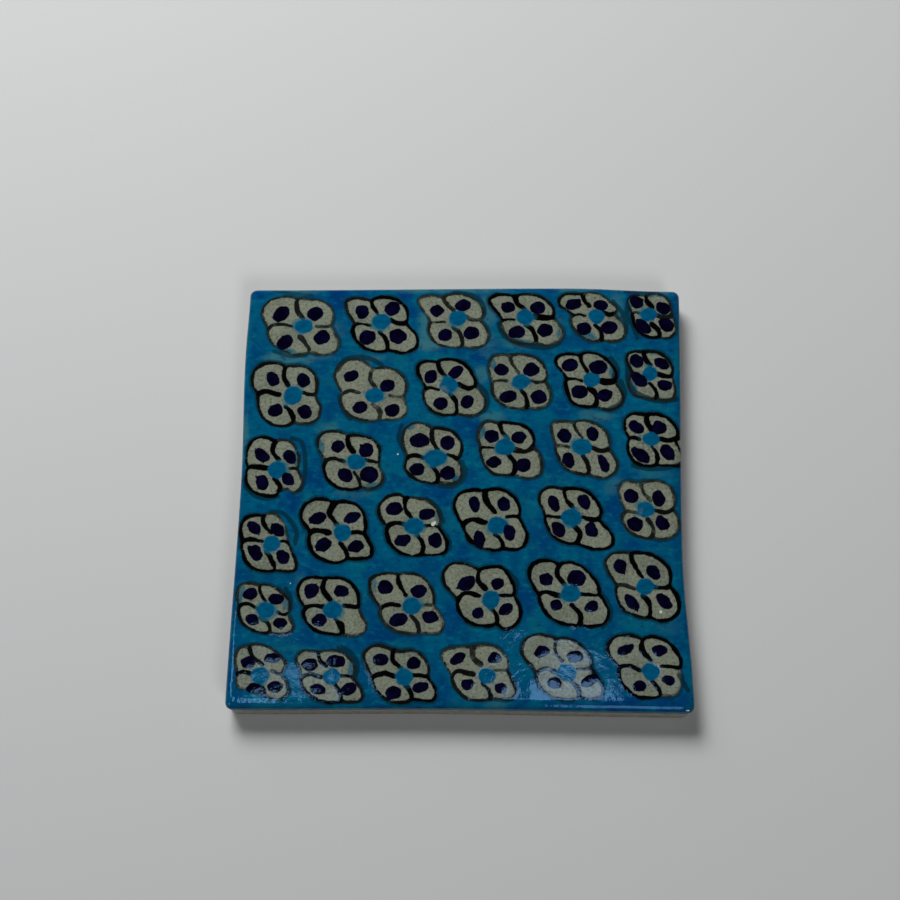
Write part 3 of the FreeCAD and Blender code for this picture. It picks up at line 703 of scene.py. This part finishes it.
def pooled(x, y, patches):
    """How strongly soft elliptical patches lie over each point: full inside, eased off past the edge."""
    wx = x + uneven(x, y, PATCH_WOBBLE, 61)
    wy = y + uneven(x, y, PATCH_WOBBLE, 62)
    strongest = np.zeros(len(x))
    for cx, cy, half_width, half_height, strength in patches:
        reach = np.hypot((wx - cx) / half_width, (wy - cy) / half_height)
        strongest = np.maximum(strongest, strength * smooth(1.35, 0.45, reach))
    return strongest


def keep_nearest(field, name, here, distance):
    """Lowers a field's distances to the given ones where those are less, and returns where that was."""
    closer = distance < field[name][here]
    field[name][here] = np.where(closer, distance, field[name][here])
    return closer


def keep_stroke(field, name, here, distance, amount):
    """Adds a stroke's distances, and its share of paint where it is the nearest of its kind."""
    closer = keep_nearest(field, f"{name}_mm", here, distance)
    field[f"{name}_paint"][here] = np.where(closer, amount, field[f"{name}_paint"][here])


def flower_strokes(petals):
    """A flower's whole outline, and its strokes: each one's path, its width and its share of paint.

    The upper right and lower left petals are whole loops, each drawn on from the lines at both its
    ends; the other two are arcs that stop against them.
    """
    outlines, strokes = [], []
    for k, (outline, line, dot, outline_paint, line_paint) in enumerate(petals):
        following = petals[(k + 1) % 4]
        looped = k % 2 == 1
        lead = line[:2] if looped else None
        trail = following[1][:2] if looped else None
        outlines.append(curve(outline + following[0][:2], lead, trail))
        strokes.append((outlines[k], OUTLINE_WIDTH[outline_paint], outline_paint / MOST_PAINT))
        neighbour = outline[2:4] if looped else petals[k - 1][0][-2:]
        path = curve(outline[:2] + line[:4], lead=neighbour)
        strokes.append((path, LINE_SPREAD * line[4], line_paint / MOST_PAINT))
    return np.concatenate([path[:-1] for path in outlines]), strokes


def paint_flower(field, x, y, number, disk, petals):
    """Adds one flower's petals, lines, dots and disk to the points near it, shaken a little by the hand."""
    here = np.nonzero(np.hypot(x - disk[0], y - disk[1]) < FLOWER_REACH)[0]
    px = x[here] + uneven(x[here], y[here], HAND_SHAKE, 500 + number)
    py = y[here] + uneven(x[here], y[here], HAND_SHAKE, 600 + number)
    outline, strokes = flower_strokes(petals)
    off = nearest(px, py, np.concatenate([outline, outline[:1]]))[0]
    keep_nearest(field, "petal_mm", here, np.where(inside(px, py, outline), -off, off))
    for k, (path, width, amount) in enumerate(strokes):
        off, reach = nearest(px, py, path)
        swell = 1 + uneven(reach, np.full_like(reach, 7.0 * k), BRUSH_SWELL, 800 + number)
        keep_stroke(field, "line", here, off - width / 2 * swell, amount)
    for k, petal in enumerate(petals):
        dot = petal[2]
        if dot[2]:
            wobble = uneven(px, py, DOT_WOBBLE, 700 + 4 * number + k)
            keep_nearest(field, "dot_mm", here, ellipse(px, py, *dot) + wobble - DOT_SPREAD)
    disk_mm = ellipse(px, py, disk[0], disk[1], 2 * disk[2], 2 * disk[3], 0)
    disk_mm += uneven(px, py, DISK_WOBBLE, 900 + number)
    keep_nearest(field, "disk_mm", here, disk_mm)


def paint(x, y):
    """Distances in mm from each point of the face to the painted shapes, and how much paint they hold."""
    distances = ("petal_mm", "line_mm", "dot_mm", "disk_mm", "chip_mm", "stray_mm")
    field = {name: np.full(len(x), FAR) for name in distances}
    field["line_paint"] = np.zeros(len(x))
    field["stray_paint"] = np.zeros(len(x))
    field["cobalt"] = pooled(x, y, COBALT_POOLS)
    field["thin"] = pooled(x, y, THIN_PATCHES)
    field["lap"] = pooled(x, y, LAPS)
    field["disk_gap"] = pooled(x, y, DISK_GAPS)
    everywhere = slice(None)
    for number, (disk, petals) in enumerate(FLOWERS):
        paint_flower(field, x, y, number, disk, petals)
    for patch in BARE_PATCHES:
        keep_nearest(field, "petal_mm", everywhere, ellipse(x, y, *patch))
    for cx, cy, half in CHIPS:
        keep_nearest(field, "chip_mm", everywhere, np.hypot(x - cx, y - cy) - half)
    for ax, ay, bx, by, half in DOT_TAILS:
        here = np.nonzero(np.hypot(x - ax, y - ay) < TAIL_REACH)[0]
        off, reach = nearest(x[here], y[here], np.array([[ax, ay], [bx, by]]))
        share = reach / math.hypot(bx - ax, by - ay)
        keep_nearest(field, "dot_mm", here, off - half + (half - TAIL_TIP) * share)
    for path, width, amount in STRAY_STROKES:
        off = nearest(x, y, curve(path))[0]
        keep_stroke(field, "stray", everywhere, off - width / 2, amount)
    return field


def face_surface(shares):
    """The points of the face, and the painting on them.

    A point's height is the thickness less the pillow's fall, 1 minus the product of the two rises
    across it. The glaze's waves, the painted lines and the dots' domes add to it away from the rim.
    """
    x, y = face_grid(shares).reshape(-1, 2).T
    rise = pillow_rise(shares)
    up = (rise[:, None] * rise[None, :]).ravel()
    field = paint(x, y)
    glaze = uneven(x, y, BROAD_SWELL, 11) + uneven(x, y, FINE_SWELL, 12)
    thick = np.maximum(smooth(0.35, -0.35, field["line_mm"]), smooth(0.3, -0.5, field["dot_mm"]))
    dome = DOT_DOME * smooth(0.3, -2.2, field["dot_mm"])
    relief = GLAZE_WAVE * (glaze - 1) + PAINT_RELIEF * thick + dome - DOT_DOME
    z = THICKNESS - PILLOW_DROP * (1 - up)
    z = z + smooth(0.2, 1.0, up) * relief
    return np.stack([x, y, z], -1), field


def wall_rings(shares):
    """Closed rings of points down the walls, round the rubbed arris and in over the back.

    The walls lean in with depth and their corners grow rounder. The arris is a quarter circle. The
    clay stands in by its waves, less and less towards the back, whose rings are shrunk copies of the last.
    """
    depth = np.linspace(0, GLAZE_LINE - BACK_ARRIS, WALL_ROWS + 1)[1:]
    turn = np.linspace(0, math.pi / 2, ARRIS_ROWS + 1)[1:]
    heights = np.concatenate([GLAZE_LINE - depth, BACK_ARRIS * (1 - np.sin(turn))])
    lean = WALL_LEAN * depth / depth[-1]
    insets = np.concatenate([lean, WALL_LEAN + BACK_ARRIS * (1 - np.cos(turn))])
    radii = CORNER_RADIUS + (BACK_CORNER_RADIUS - CORNER_RADIUS) * insets / (WALL_LEAN + BACK_ARRIS)
    rings = []
    for height, inset, radius in zip(heights, insets, radii):
        line = ring(inset, radius, shares)
        reach = np.arange(len(line)) * 4 * WIDTH / len(line)
        level = np.full_like(reach, height)
        rough = uneven(reach, level, CLAY_LUMPS, 21) + uneven(reach, level, CLAY_GRAINS, 22)
        inward = -line / np.linalg.norm(line, axis=1)[:, None]
        line = line + inward * (CLAY_WAVE * (1 + rough))[:, None] * smooth(0, 1.2, height)
        rings.append(np.column_stack([line, level]))
    last = rings[-1][:, :2]
    for share in BACK_SHARES:
        rings.append(np.column_stack([last * share, np.zeros(len(last))]))
    return rings


def tile_mesh():
    """The whole slab as one closed mesh: the face's grid, rings down the walls, rings in over the back."""
    shares = grid_shares()
    face, field = face_surface(shares)
    rings = wall_rings(shares)
    points = np.concatenate([face, *rings, [[0, 0, 0]]])

    # Faces of the grid, then of the rings, then the fan about the middle of the back
    n = len(shares)
    index = np.arange(n * n).reshape(n, n)
    grid = np.stack([index[:-1, :-1], index[1:, :-1], index[1:, 1:], index[:-1, 1:]], -1).reshape(-1, 4)
    border = np.concatenate([index[:-1, 0], index[-1, :-1], index[:0:-1, -1], index[0, :0:-1]])
    loops = np.vstack([border, n * n + np.arange(len(rings) * len(border)).reshape(len(rings), -1)])
    upper, lower = loops[:-1], loops[1:]
    bands = np.stack([upper, lower, np.roll(lower, -1, 1), np.roll(upper, -1, 1)], -1)
    walls = bands[:WALL_ROWS + ARRIS_ROWS].reshape(-1, 4)
    back = bands[WALL_ROWS + ARRIS_ROWS:].reshape(-1, 4)
    middle = len(points) - 1
    fan = np.stack([loops[-1], np.full(len(border), middle), np.roll(loops[-1], -1)], -1)

    mesh = bpy.data.meshes.new("glazed_tile")
    quads = np.concatenate([grid, walls, back])
    corners = np.concatenate([quads.ravel(), fan.ravel()])
    sizes = np.concatenate([np.full(len(quads), 4), np.full(len(fan), 3)])
    mesh.vertices.add(len(points))
    mesh.vertices.foreach_set("co", (points * MM).ravel())
    mesh.loops.add(len(corners))
    mesh.loops.foreach_set("vertex_index", corners)
    mesh.polygons.add(len(sizes))
    mesh.polygons.foreach_set("loop_start", np.concatenate([[0], np.cumsum(sizes)[:-1]]))
    mesh.polygons.foreach_set("loop_total", sizes)
    mesh.polygons.foreach_set("use_smooth", np.ones(len(sizes), bool))
    mesh.update(calc_edges=True)

    # The painting on every point; the walls and back lie far from any stroke
    below = GLAZE_LINE - points[:, 2]
    below[:n * n] = np.minimum(below[:n * n], 0)
    field["below_mm"] = below
    for name, values in field.items():
        whole = np.full(len(points), FAR if name.endswith("_mm") else 0.0)
        whole[:len(values)] = values
        mesh.attributes.new(name, "FLOAT", "POINT").data.foreach_set("value", whole)

    bake = bake_map(points, grid, walls, back, fan, len(border))
    mesh.uv_layers.new(name="OFBake").data.foreach_set("uv", bake.ravel())
    return mesh


def bake_map(points, grid, walls, back, fan, around):
    """Where each face lies on the square map: the face large, the four walls as strips, the back small."""
    edge, face_size, strip_width, back_size = 0.01, 0.86, 0.03, 0.105
    margin, outer_margin = 0.885, 0.925
    flat = points[:, :2] / WIDTH + 0.5
    face_uv = edge + flat[grid.ravel()] * face_size

    # A wall's strip: along the side, and down the wall, in the margin beside the face
    ring_place = np.tile(np.arange(around), len(walls) // around)
    quarter = around // 4
    place = ring_place[:, None] + np.array([0, 0, 1, 1])
    side = ring_place // quarter
    along = edge + face_size * ((place - side[:, None] * quarter) / quarter)
    down = points[walls][:, :, 2] / GLAZE_LINE
    strip = np.take((margin, outer_margin, margin, outer_margin), side)[:, None] + strip_width * down
    upright = (side < 2)[:, None]
    wall_uv = np.stack([np.where(upright, strip, along), np.where(upright, along, strip)], -1)

    back_uv = margin + flat[np.concatenate([back.ravel(), fan.ravel()])] * back_size
    return np.concatenate([face_uv, wall_uv.reshape(-1, 2), back_uv])


def colour(code):
    """An sRGB hex colour as linear light, with alpha 1."""
    parts = [int(code[i:i + 2], 16) / 255 for i in (1, 3, 5)]
    return (*(c / 12.92 if c <= 0.04045 else ((c + 0.055) / 1.055) ** 2.4 for c in parts), 1.0)


def node(tree, kind, out=0, **given):
    """Adds a node to a tree and returns one of its outputs, by name or place.

    A name in small letters sets the node's own property. Any other is an input's, with underscores
    for spaces, or _0 to _9 for its place, and is given a value or linked from an output.
    """
    made = tree.nodes.new("ShaderNode" + kind)
    for name, value in given.items():
        if name[0].islower():
            setattr(made, name, value)
            continue
        socket = made.inputs[int(name[1:]) if name[0] == "_" else name.replace("_", " ")]
        if isinstance(value, bpy.types.NodeSocket):
            tree.links.new(value, socket)
        else:
            socket.default_value = value
    return made.outputs[out] if len(made.outputs) else None


def new_material(name):
    """A material with an empty node tree, and that tree."""
    material = bpy.data.materials.new(name)
    material.use_nodes = True
    material.node_tree.nodes.clear()
    return material, material.node_tree


# What the mesh carries of the painting on its points: distances in mm, amounts, and mm below the glaze
FIELDS = (
    "petal_mm", "line_mm", "dot_mm", "disk_mm", "chip_mm", "stray_mm", "below_mm",
    "line_paint", "stray_paint", "cobalt", "thin", "lap", "disk_gap",
)

# The glaze's mottles: size of the features in mm, detail, roughness, shift and stretch of each noise
MOTTLES = {
    # Short strokes, clouds and bristle marks of the ground's brush
    "stroke": (3.2, 3, 0.5, 0, (1, 0.4, 1)),
    "cloud": (5, 2, 0.5, 0.57, (1, 1, 1)),
    "bristle": (1, 4, 0.7, 0.31, (0.6, 1, 1)),
    # Sand in the petals, drawn coarser than its 0.2 mm so that it shows
    "grain": (0.45, 3, 0.7, 0, (1, 1, 1)),
    # Edges that the brush left ragged
    "petal edge": (1.3, 2, 0.5, 0, (1, 1, 1)),
    "lap edge": (0.9, 3, 0.5, 0.9, (1, 1, 1)),
    "line edge": (0.8, 4, 0.65, 0, (1, 1, 1)),
    "stray edge": (0.9, 2, 0.5, 0, (1, 1, 1)),
    "disk edge": (0.8, 2, 0.5, 0.2, (1, 1, 1)),
    "dot edge": (0.8, 2, 0.5, 0.5, (1, 1, 1)),
    "rim edge": (6, 3, 0.5, 0, (1, 1, 1)),
    # Where paint bleeds, where the brush ran dry, and how far and where a disk washes out
    "bleeding": (6, 1, 0.5, 0.23, (1, 1, 1)),
    "dryness": (1.3, 4, 0.65, 0.41, (1, 1, 1)),
    "wash reach": (2.2, 1, 0.5, 0.77, (1, 1, 1)),
    "wash place": (4, 1, 0.5, 0.12, (1, 1, 1)),
    # Shades of the dots and of the clay
    "dot shade": (1.1, 2, 0.5, 0, (1, 1, 1)),
    "clay shade": (1.2, 4, 0.65, 0, (1, 1, 1)),
    # Ripples of the glaze's surface, and its orange peel
    "ripple": (1.9, 1, 0.5, 0.7, (1, 1, 1)),
    "peel": (0.7, 2, 0.6, 0, (1, 1, 1)),
}

# What is worked out from the mottles and the painting's distances and amounts, one from another.
# EASE goes from the third number to the fourth as its source goes from the first to the second, and
# RAGGED adds to its source a mottle less the first number, times the second
STEPS = (
    # The ground: short strokes, cobalt pools, patches where the coat ran thin, and bristle marks
    ("short strokes", "EASE", "stroke", 0.34, 0.66, 0, 1),
    ("clouds", "EASE", "cloud", 0.5, 0.72, 0, 0.5),
    ("pool strokes", "EASE", "stroke", 0.2, 0.6, 0.55, 1),
    ("cobalt pools", "MULTIPLY", "cobalt", "pool strokes"),
    ("thin strokes", "EASE", "stroke", 0.7, 0.3, 0.4, 1),
    ("thin patches", "MULTIPLY", "thin", "thin strokes"),
    ("light bristles", "EASE", "bristle", 0.5, 0.7, 0, 0.45),
    ("dark bristles", "EASE", "bristle", 0.47, 0.3, 0, 0.7),
    # The petals, with light and dark sand
    ("petal clouds", "EASE", "cloud", 0.35, 0.7, 0, 1),
    ("light sand", "EASE", "grain", 0.46, 0.34, 0, 0.6),
    ("dark sand", "EASE", "grain", 0.5, 0.68, 0, 0.75),
    ("ragged petal", "RAGGED", "petal_mm", "petal edge", 0.5, 0.5),
    ("on petal", "EASE", "ragged petal", 0.35, 0.1, 0, 1),
    # The blue laps over a petal where the ground's brush went over its edge
    ("lap patches", "EASE", "lap", 0.1, 0.6, 0, 1),
    ("lap streaks", "EASE", "lap edge", 0.35, 0.6, 0.95, 0.7),
    ("streaked laps", "MULTIPLY", "lap patches", "lap streaks"),
    ("within petal", "EASE", "petal_mm", 0.3, 0, 0, 1),
    ("lapped", "MULTIPLY", "streaked laps", "within petal"),
    # The line's colour bleeds into the wet ground beside it, further in some places than in others
    ("ragged line", "RAGGED", "line_mm", "line edge", 0.5, 0.85),
    ("bleeding reach", "EASE", "bleeding", 0.35, 0.62, 0.4, 1),
    ("bleeding left", "SUBTRACT", "bleeding reach", "ragged line"),
    ("bleeding share", "DIVIDE", "bleeding left", 0.6),
    ("bleeding strength", "EASE", "bleeding share", 0, 1, 0, 0.75),
    ("outside petal", "EASE", "petal_mm", -0.2, 0.3, 0.1, 1),
    ("bled", "MULTIPLY", "bleeding strength", "outside petal"),
    # A second, watery pass of the brush shows here and there beside the line
    ("ragged stray", "RAGGED", "stray_mm", "stray edge", 0.5, 0.5),
    ("on stray", "EASE", "ragged stray", 0.35, -0.2, 0, 1),
    ("stray paint", "EASE", "stray_paint", 0, 0.9, 0, 1),
    ("painted stray", "MULTIPLY", "on stray", "stray paint"),
    ("strayed", "MULTIPLY", "painted stray", 0.85),
    # The lines, brown and see-through where the brush held little paint or ran dry
    ("full brush", "EASE", "line_paint", 0.35, 0.95, 0, 1),
    ("dried paint", "RAGGED", "line_paint", "dryness", 0.45, 1.9),
    ("line cover", "EASE", "dried paint", -0.1, 0.72, 0.25, 1),
    ("on line", "EASE", "ragged line", 0.14, -0.14, 0, 1),
    ("lined", "MULTIPLY", "line cover", "on line"),
    # Centre disks, laid on last and full, whose turquoise washes out round them
    ("wash distance", "RAGGED", "disk_mm", "wash reach", 0, 2.4),
    ("near disk", "EASE", "wash distance", 2.6, 1.2, 0, 0.75),
    ("wash patches", "EASE", "wash place", 0.48, 0.6, 0, 1),
    ("washed", "MULTIPLY", "near disk", "wash patches"),
    ("ragged disk", "RAGGED", "disk_mm", "disk edge", 0.5, 0.5),
    ("on disk", "EASE", "ragged disk", 0.3, -0.3, 0, 1),
    ("disk cover", "EASE", "disk_gap", 0, 1, 1, 0.2),
    ("disked", "MULTIPLY", "on disk", "disk cover"),
    ("disk strokes", "EASE", "bristle", 0.4, 0.62, 0, 1),
    # Dots of manganese and cobalt, and pinholes down to the white glaze
    ("dot shades", "EASE", "dot shade", 0.4, 0.7, 0, 1),
    ("ragged dot", "RAGGED", "dot_mm", "dot edge", 0.5, 0.6),
    ("dotted", "EASE", "ragged dot", 0.12, -0.12, 0, 1),
    ("chipped", "EASE", "chip_mm", 0.1, -0.1, 0, 1),
    # Bare clay below the glaze's ragged lower edge, with a burnt line where the two meet
    ("ragged rim", "RAGGED", "below_mm", "rim edge", 0.5, 1.6),
    ("clay shades", "EASE", "clay shade", 0.35, 0.75, 0, 1),
    ("bare", "EASE", "ragged rim", 0.25, 0.55, 0, 1),
    ("burnt from", "EASE", "ragged rim", 0, 0.35, 0, 1),
    ("burnt to", "EASE", "ragged rim", 1.1, 0.6, 0, 1),
    ("burnt line", "MULTIPLY", "burnt from", "burnt to"),
    ("burnt", "MULTIPLY", "burnt line", 0.7),
    # Gloss: glass at 0.04, a little rougher on the petals' sand, and the clay is dull
    ("line or dot", "MAXIMUM", "lined", "dotted"),
    ("thick paint", "MAXIMUM", "line or dot", "disked"),
    ("thin paint", "EASE", "thick paint", 1, 0, 0, 1),
    ("petal sand", "EASE", "petal_mm", 0.2, -0.3, 0, 1),
    ("sandy", "MULTIPLY", "petal sand", "thin paint"),
    ("grain roughness", "EASE", "grain", 0.4, 0.6, 0, 0.06),
    ("sand roughness", "MULTIPLY", "sandy", "grain roughness"),
    ("glaze roughness", "ADD", "sand roughness", 0.04),
    ("clay roughness", "MULTIPLY", "bare", 0.75),
    ("roughness", "ADD", "glaze roughness", "clay roughness"),
    ("sand height", "MULTIPLY", "grain", "sandy"),
)

# Each coat's first colour, then what is laid over it where one of the steps is 1
COATS = (
    ("ground", "#00587a", (
        ("short strokes", "#004772"), ("clouds", "#0c6273"), ("cobalt pools", "#00386f"),
        ("thin patches", "#437678"), ("light bristles", "#0e7888"), ("dark bristles", "#00345a"),
    )),
    ("cream", "#7f8675", (("petal clouds", "#707869"), ("light sand", "#969c8c"), ("dark sand", "#4b4a38"))),
    ("line", "#212520", (("full brush", "#040304"),)),
    ("disk", "#00597c", (("disk strokes", "#004a70"),)),
    ("dot", "#030216", (("dot shades", "#080626"),)),
    ("clay", "#8f8d80", (("clay shades", "#77756a"),)),
    ("glaze", "ground", (
        ("on petal", "cream"), ("lapped", "#0a566b"), ("bled", "#08303d"), ("strayed", "#072b38"),
        ("lined", "line"), ("washed", "#1c6274"), ("disked", "disk"), ("dotted", "dot"),
        ("chipped", "#c9d2c8"),
    )),
    ("surface", "glaze", (("bare", "clay"), ("burnt", "#3a2c20"))),
)


def painted_glaze():
    """Tin-glazed earthenware painted by brush: clear gloss over brushed pigments, bare clay below the rim.

    The ground is copper turquoise with cobalt streaks along the brush's way, the petals are a stony
    cream with a fine sandy speckle, the lines are iron-brown to black where the paint is full and
    watery grey where it ran thin, and the dots and disks are laid over them.
    """
    material, tree = new_material("Painted tin glaze on fired clay")
    made = {name: node(tree, "Attribute", out="Fac", attribute_name=name) for name in FIELDS}
    place = node(tree, "TexCoord", out="Object")
    for name, (size_mm, detail, rough, shift, stretch) in MOTTLES.items():
        moved = node(tree, "Mapping", Vector=place, Scale=stretch, Location=(shift, 0, 0))
        made[name] = node(
            tree, "TexNoise", out="Fac",
            Vector=moved, Scale=0.5 / (size_mm * MM), Detail=detail, Roughness=rough,
        )

    for name, action, *given in STEPS:
        given = [made.get(value, value) for value in given]
        if action == "EASE":
            made[name] = node(
                tree, "MapRange", interpolation_type="SMOOTHSTEP", Value=given[0],
                From_Min=given[1], From_Max=given[2], To_Min=given[3], To_Max=given[4],
            )
        elif action == "RAGGED":
            source, mottle, middle, amount = given
            change = node(tree, "Math", operation="SUBTRACT", _0=mottle, _1=middle)
            change = node(tree, "Math", operation="MULTIPLY", _0=change, _1=amount)
            made[name] = node(tree, "Math", operation="ADD", _0=source, _1=change)
        else:
            made[name] = node(tree, "Math", operation=action, _0=given[0], _1=given[1])

    coats = {}
    for name, first, layers in COATS:
        coat = coats[first] if first in coats else colour(first)
        for where, over in layers:
            over = coats[over] if over in coats else colour(over)
            coat = node(tree, "Mix", out=2, data_type="RGBA", _0=made[where], _6=coat, _7=over)
        coats[name] = coat

    # The glaze is rippled like orange peel, and finely sanded over the petals
    bump = node(tree, "Bump", Strength=1, Distance=0.036 * MM, Height=made["ripple"])
    bump = node(tree, "Bump", Strength=1, Distance=0.02 * MM, Height=made["peel"], Normal=bump)
    bump = node(tree, "Bump", Strength=1, Distance=0.015 * MM, Height=made["sand height"], Normal=bump)
    shader = node(
        tree, "BsdfPrincipled",
        Base_Color=coats["surface"], Roughness=made["roughness"], Normal=bump, IOR=1.5,
    )
    node(tree, "OutputMaterial", Surface=shader)
    return material


def studio_floor():
    """Matt paper sweep: a pale, faintly cool grey that takes the tile's shadow."""
    material, tree = new_material("Matt paper floor")
    shader = node(tree, "BsdfPrincipled", Base_Color=colour("#d0d1d1"), Roughness=0.9)
    node(tree, "OutputMaterial", Surface=shader)
    return material


def add_lamp(name, place, target, size, power, tint="#ffffff", turn=0, mirrored=False):
    """A rectangular soft light at a place in metres, faced to a target and turned in its own plane.

    One that is mirrored shows only as its image in the gloss; any other only lights the surfaces.
    """
    lamp = bpy.data.lights.new(name, "AREA")
    lamp.shape = "RECTANGLE"
    lamp.size, lamp.size_y = size
    lamp.energy = power
    lamp.color = colour(tint)[:3]
    thing = bpy.data.objects.new(name, lamp)
    thing.location = place
    thing.rotation_euler = (Vector(target) - Vector(place)).to_track_quat("-Z", "Y").to_euler()
    thing.rotation_euler.rotate_axis("Z", math.radians(turn))
    thing.visible_glossy = mirrored
    thing.visible_diffuse = not mirrored
    bpy.context.scene.collection.objects.link(thing)


def add_window(name, side, back, size, power, tint, turn=0, target=None):
    """A pane high over the tile that shows only as its image in the gloss, faced down or to a target."""
    target = target or (side, back, 0)
    add_lamp(name, (side, back, WINDOW_HEIGHT), target, size, power, tint, turn, mirrored=True)


def add_sky(name, place, strength, spread, mirrored):
    """A far soft light that shines evenly from the direction of a place, and may leave no image in gloss."""
    lamp = bpy.data.lights.new(name, "SUN")
    lamp.energy = strength
    lamp.angle = math.radians(spread)
    thing = bpy.data.objects.new(name, lamp)
    thing.rotation_euler = Vector(place).to_track_quat("Z", "Y").to_euler()
    thing.visible_glossy = mirrored
    bpy.context.scene.collection.objects.link(thing)


def add_windows():
    """The room's windows, whose images fall on the front of the face, its corners and its rim."""
    # The left one is three low panes, whose images break up over the waves of the glaze
    left_panes = ((-0.21, 0.198, 0.05), (-0.203, 0.213, 0.06), (-0.19, 0.229, 0.055))
    for row, (side, back, width) in enumerate(left_panes):
        add_window(f"left pane {row + 1}", side, back, (width, 0.009), 0.19 * width, SKY_LIGHT)
    add_window("right window", 0.067, 0.185, (0.09, 0.13), 0.19, SKY_LIGHT, turn=-16)
    add_window("low pane", -0.217, -0.1, (0.03, 0.48), 0.34, DEEP_SKY_LIGHT)
    add_window("side window", -0.98, 0.32, (0.07, 0.42), 0.5, SKY_LIGHT, target=(-0.073, -0.062, 0.01))
    add_window("corner pane", -0.5, 0.02, (0.3, 0.15), 0.8, SKY_LIGHT, target=(-0.072, -0.072, 0.01))
    add_window("rim window", 0.137, -0.57, (0.13, 0.45), 0.65, DEEP_SKY_LIGHT)
    add_window("corner window", -1.13, -0.5, (0.3, 0.3), 1.2, DEEP_SKY_LIGHT, target=(-0.07, -0.07, 0))


def add_camera():
    """The photograph's camera, solved from the face's corners: above the front edge, looking down.

    Its lens is twice as long as its sensor is wide, as the photograph's focal length of 1800 pixels is
    twice its width.
    """
    place = Vector((15.15, -208.26, 570.66)) * MM
    look = Vector((-0.03159, 0.36801, -0.92929)).normalized()
    top = Vector((-0.00449, 0.92969, 0.36832))
    side = look.cross(top).normalized()
    top = side.cross(look)
    lens = bpy.data.cameras.new("camera")
    lens.sensor_fit = "HORIZONTAL"
    lens.sensor_width = 36
    lens.lens = 72
    lens.clip_start = 0.01
    camera = bpy.data.objects.new("camera", lens)
    camera.matrix_world = Matrix.Translation(place) @ Matrix((side, top, -look)).transposed().to_4x4()
    bpy.context.scene.collection.objects.link(camera)
    bpy.context.scene.camera = camera


def add_floor():
    """A flat square sheet, 8 metres across, at the height of the tile's back."""
    half = 4
    mesh = bpy.data.meshes.new("floor")
    corners = [(-half, -half, 0), (half, -half, 0), (half, half, 0), (-half, half, 0)]
    mesh.from_pydata(corners, [], [(0, 1, 2, 3)])
    floor = bpy.data.objects.new("floor", mesh)
    mesh.materials.append(studio_floor())
    bpy.context.scene.collection.objects.link(floor)


def add_world():
    """A pale horizon that the camera and the gloss see, dark overhead; it lights surfaces only a little."""
    seen_horizon, lit_horizon, overhead = 0.7, 0.06, 0.01
    world = bpy.data.worlds.new("studio")
    bpy.context.scene.world = world
    world.use_nodes = True
    tree = world.node_tree
    seen = node(tree, "LightPath", out="Is Camera Ray")
    for kind in ("Is Glossy Ray", "Is Transmission Ray"):
        ray = node(tree, "LightPath", out=kind)
        seen = node(tree, "Math", operation="MAXIMUM", _0=seen, _1=ray)
    horizon = node(tree, "MapRange", Value=seen, To_Min=lit_horizon, To_Max=seen_horizon)
    direction = node(tree, "TexCoord", out="Generated")
    height = node(tree, "SeparateXYZ", out="Z", Vector=direction)
    level = node(
        tree, "MapRange", interpolation_type="SMOOTHSTEP",
        Value=height, From_Min=0.02, From_Max=0.2, To_Min=horizon, To_Max=overhead,
    )
    background = tree.nodes["Background"]
    background.inputs["Color"].default_value = colour("#d2dfee")
    tree.links.new(level, background.inputs["Strength"])


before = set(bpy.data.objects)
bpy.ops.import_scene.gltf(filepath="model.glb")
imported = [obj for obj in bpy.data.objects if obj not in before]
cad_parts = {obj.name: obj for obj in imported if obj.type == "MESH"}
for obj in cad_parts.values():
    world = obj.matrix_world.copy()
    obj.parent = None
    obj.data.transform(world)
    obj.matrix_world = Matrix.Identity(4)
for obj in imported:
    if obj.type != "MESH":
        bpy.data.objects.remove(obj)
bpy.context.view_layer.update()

tile = bpy.data.objects.new("glazed_tile", tile_mesh())
tile.data.materials.append(painted_glaze())
bpy.context.scene.collection.objects.link(tile)
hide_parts("tile")
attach(tile, "root")

add_camera()
add_floor()
add_world()
add_lamp("key", (-0.3, 0.62, 0.78), (0, 0, 0), (0.5, 0.5), 8.5)
add_sky("sky", (-0.6, 1.0, 0.8), 0.45, 40, mirrored=False)
add_sky("fill", (0.35, -0.72, 0.6), 0.75, 20, mirrored=True)
add_windows()

bpy.context.scene.view_settings.view_transform = "Standard"
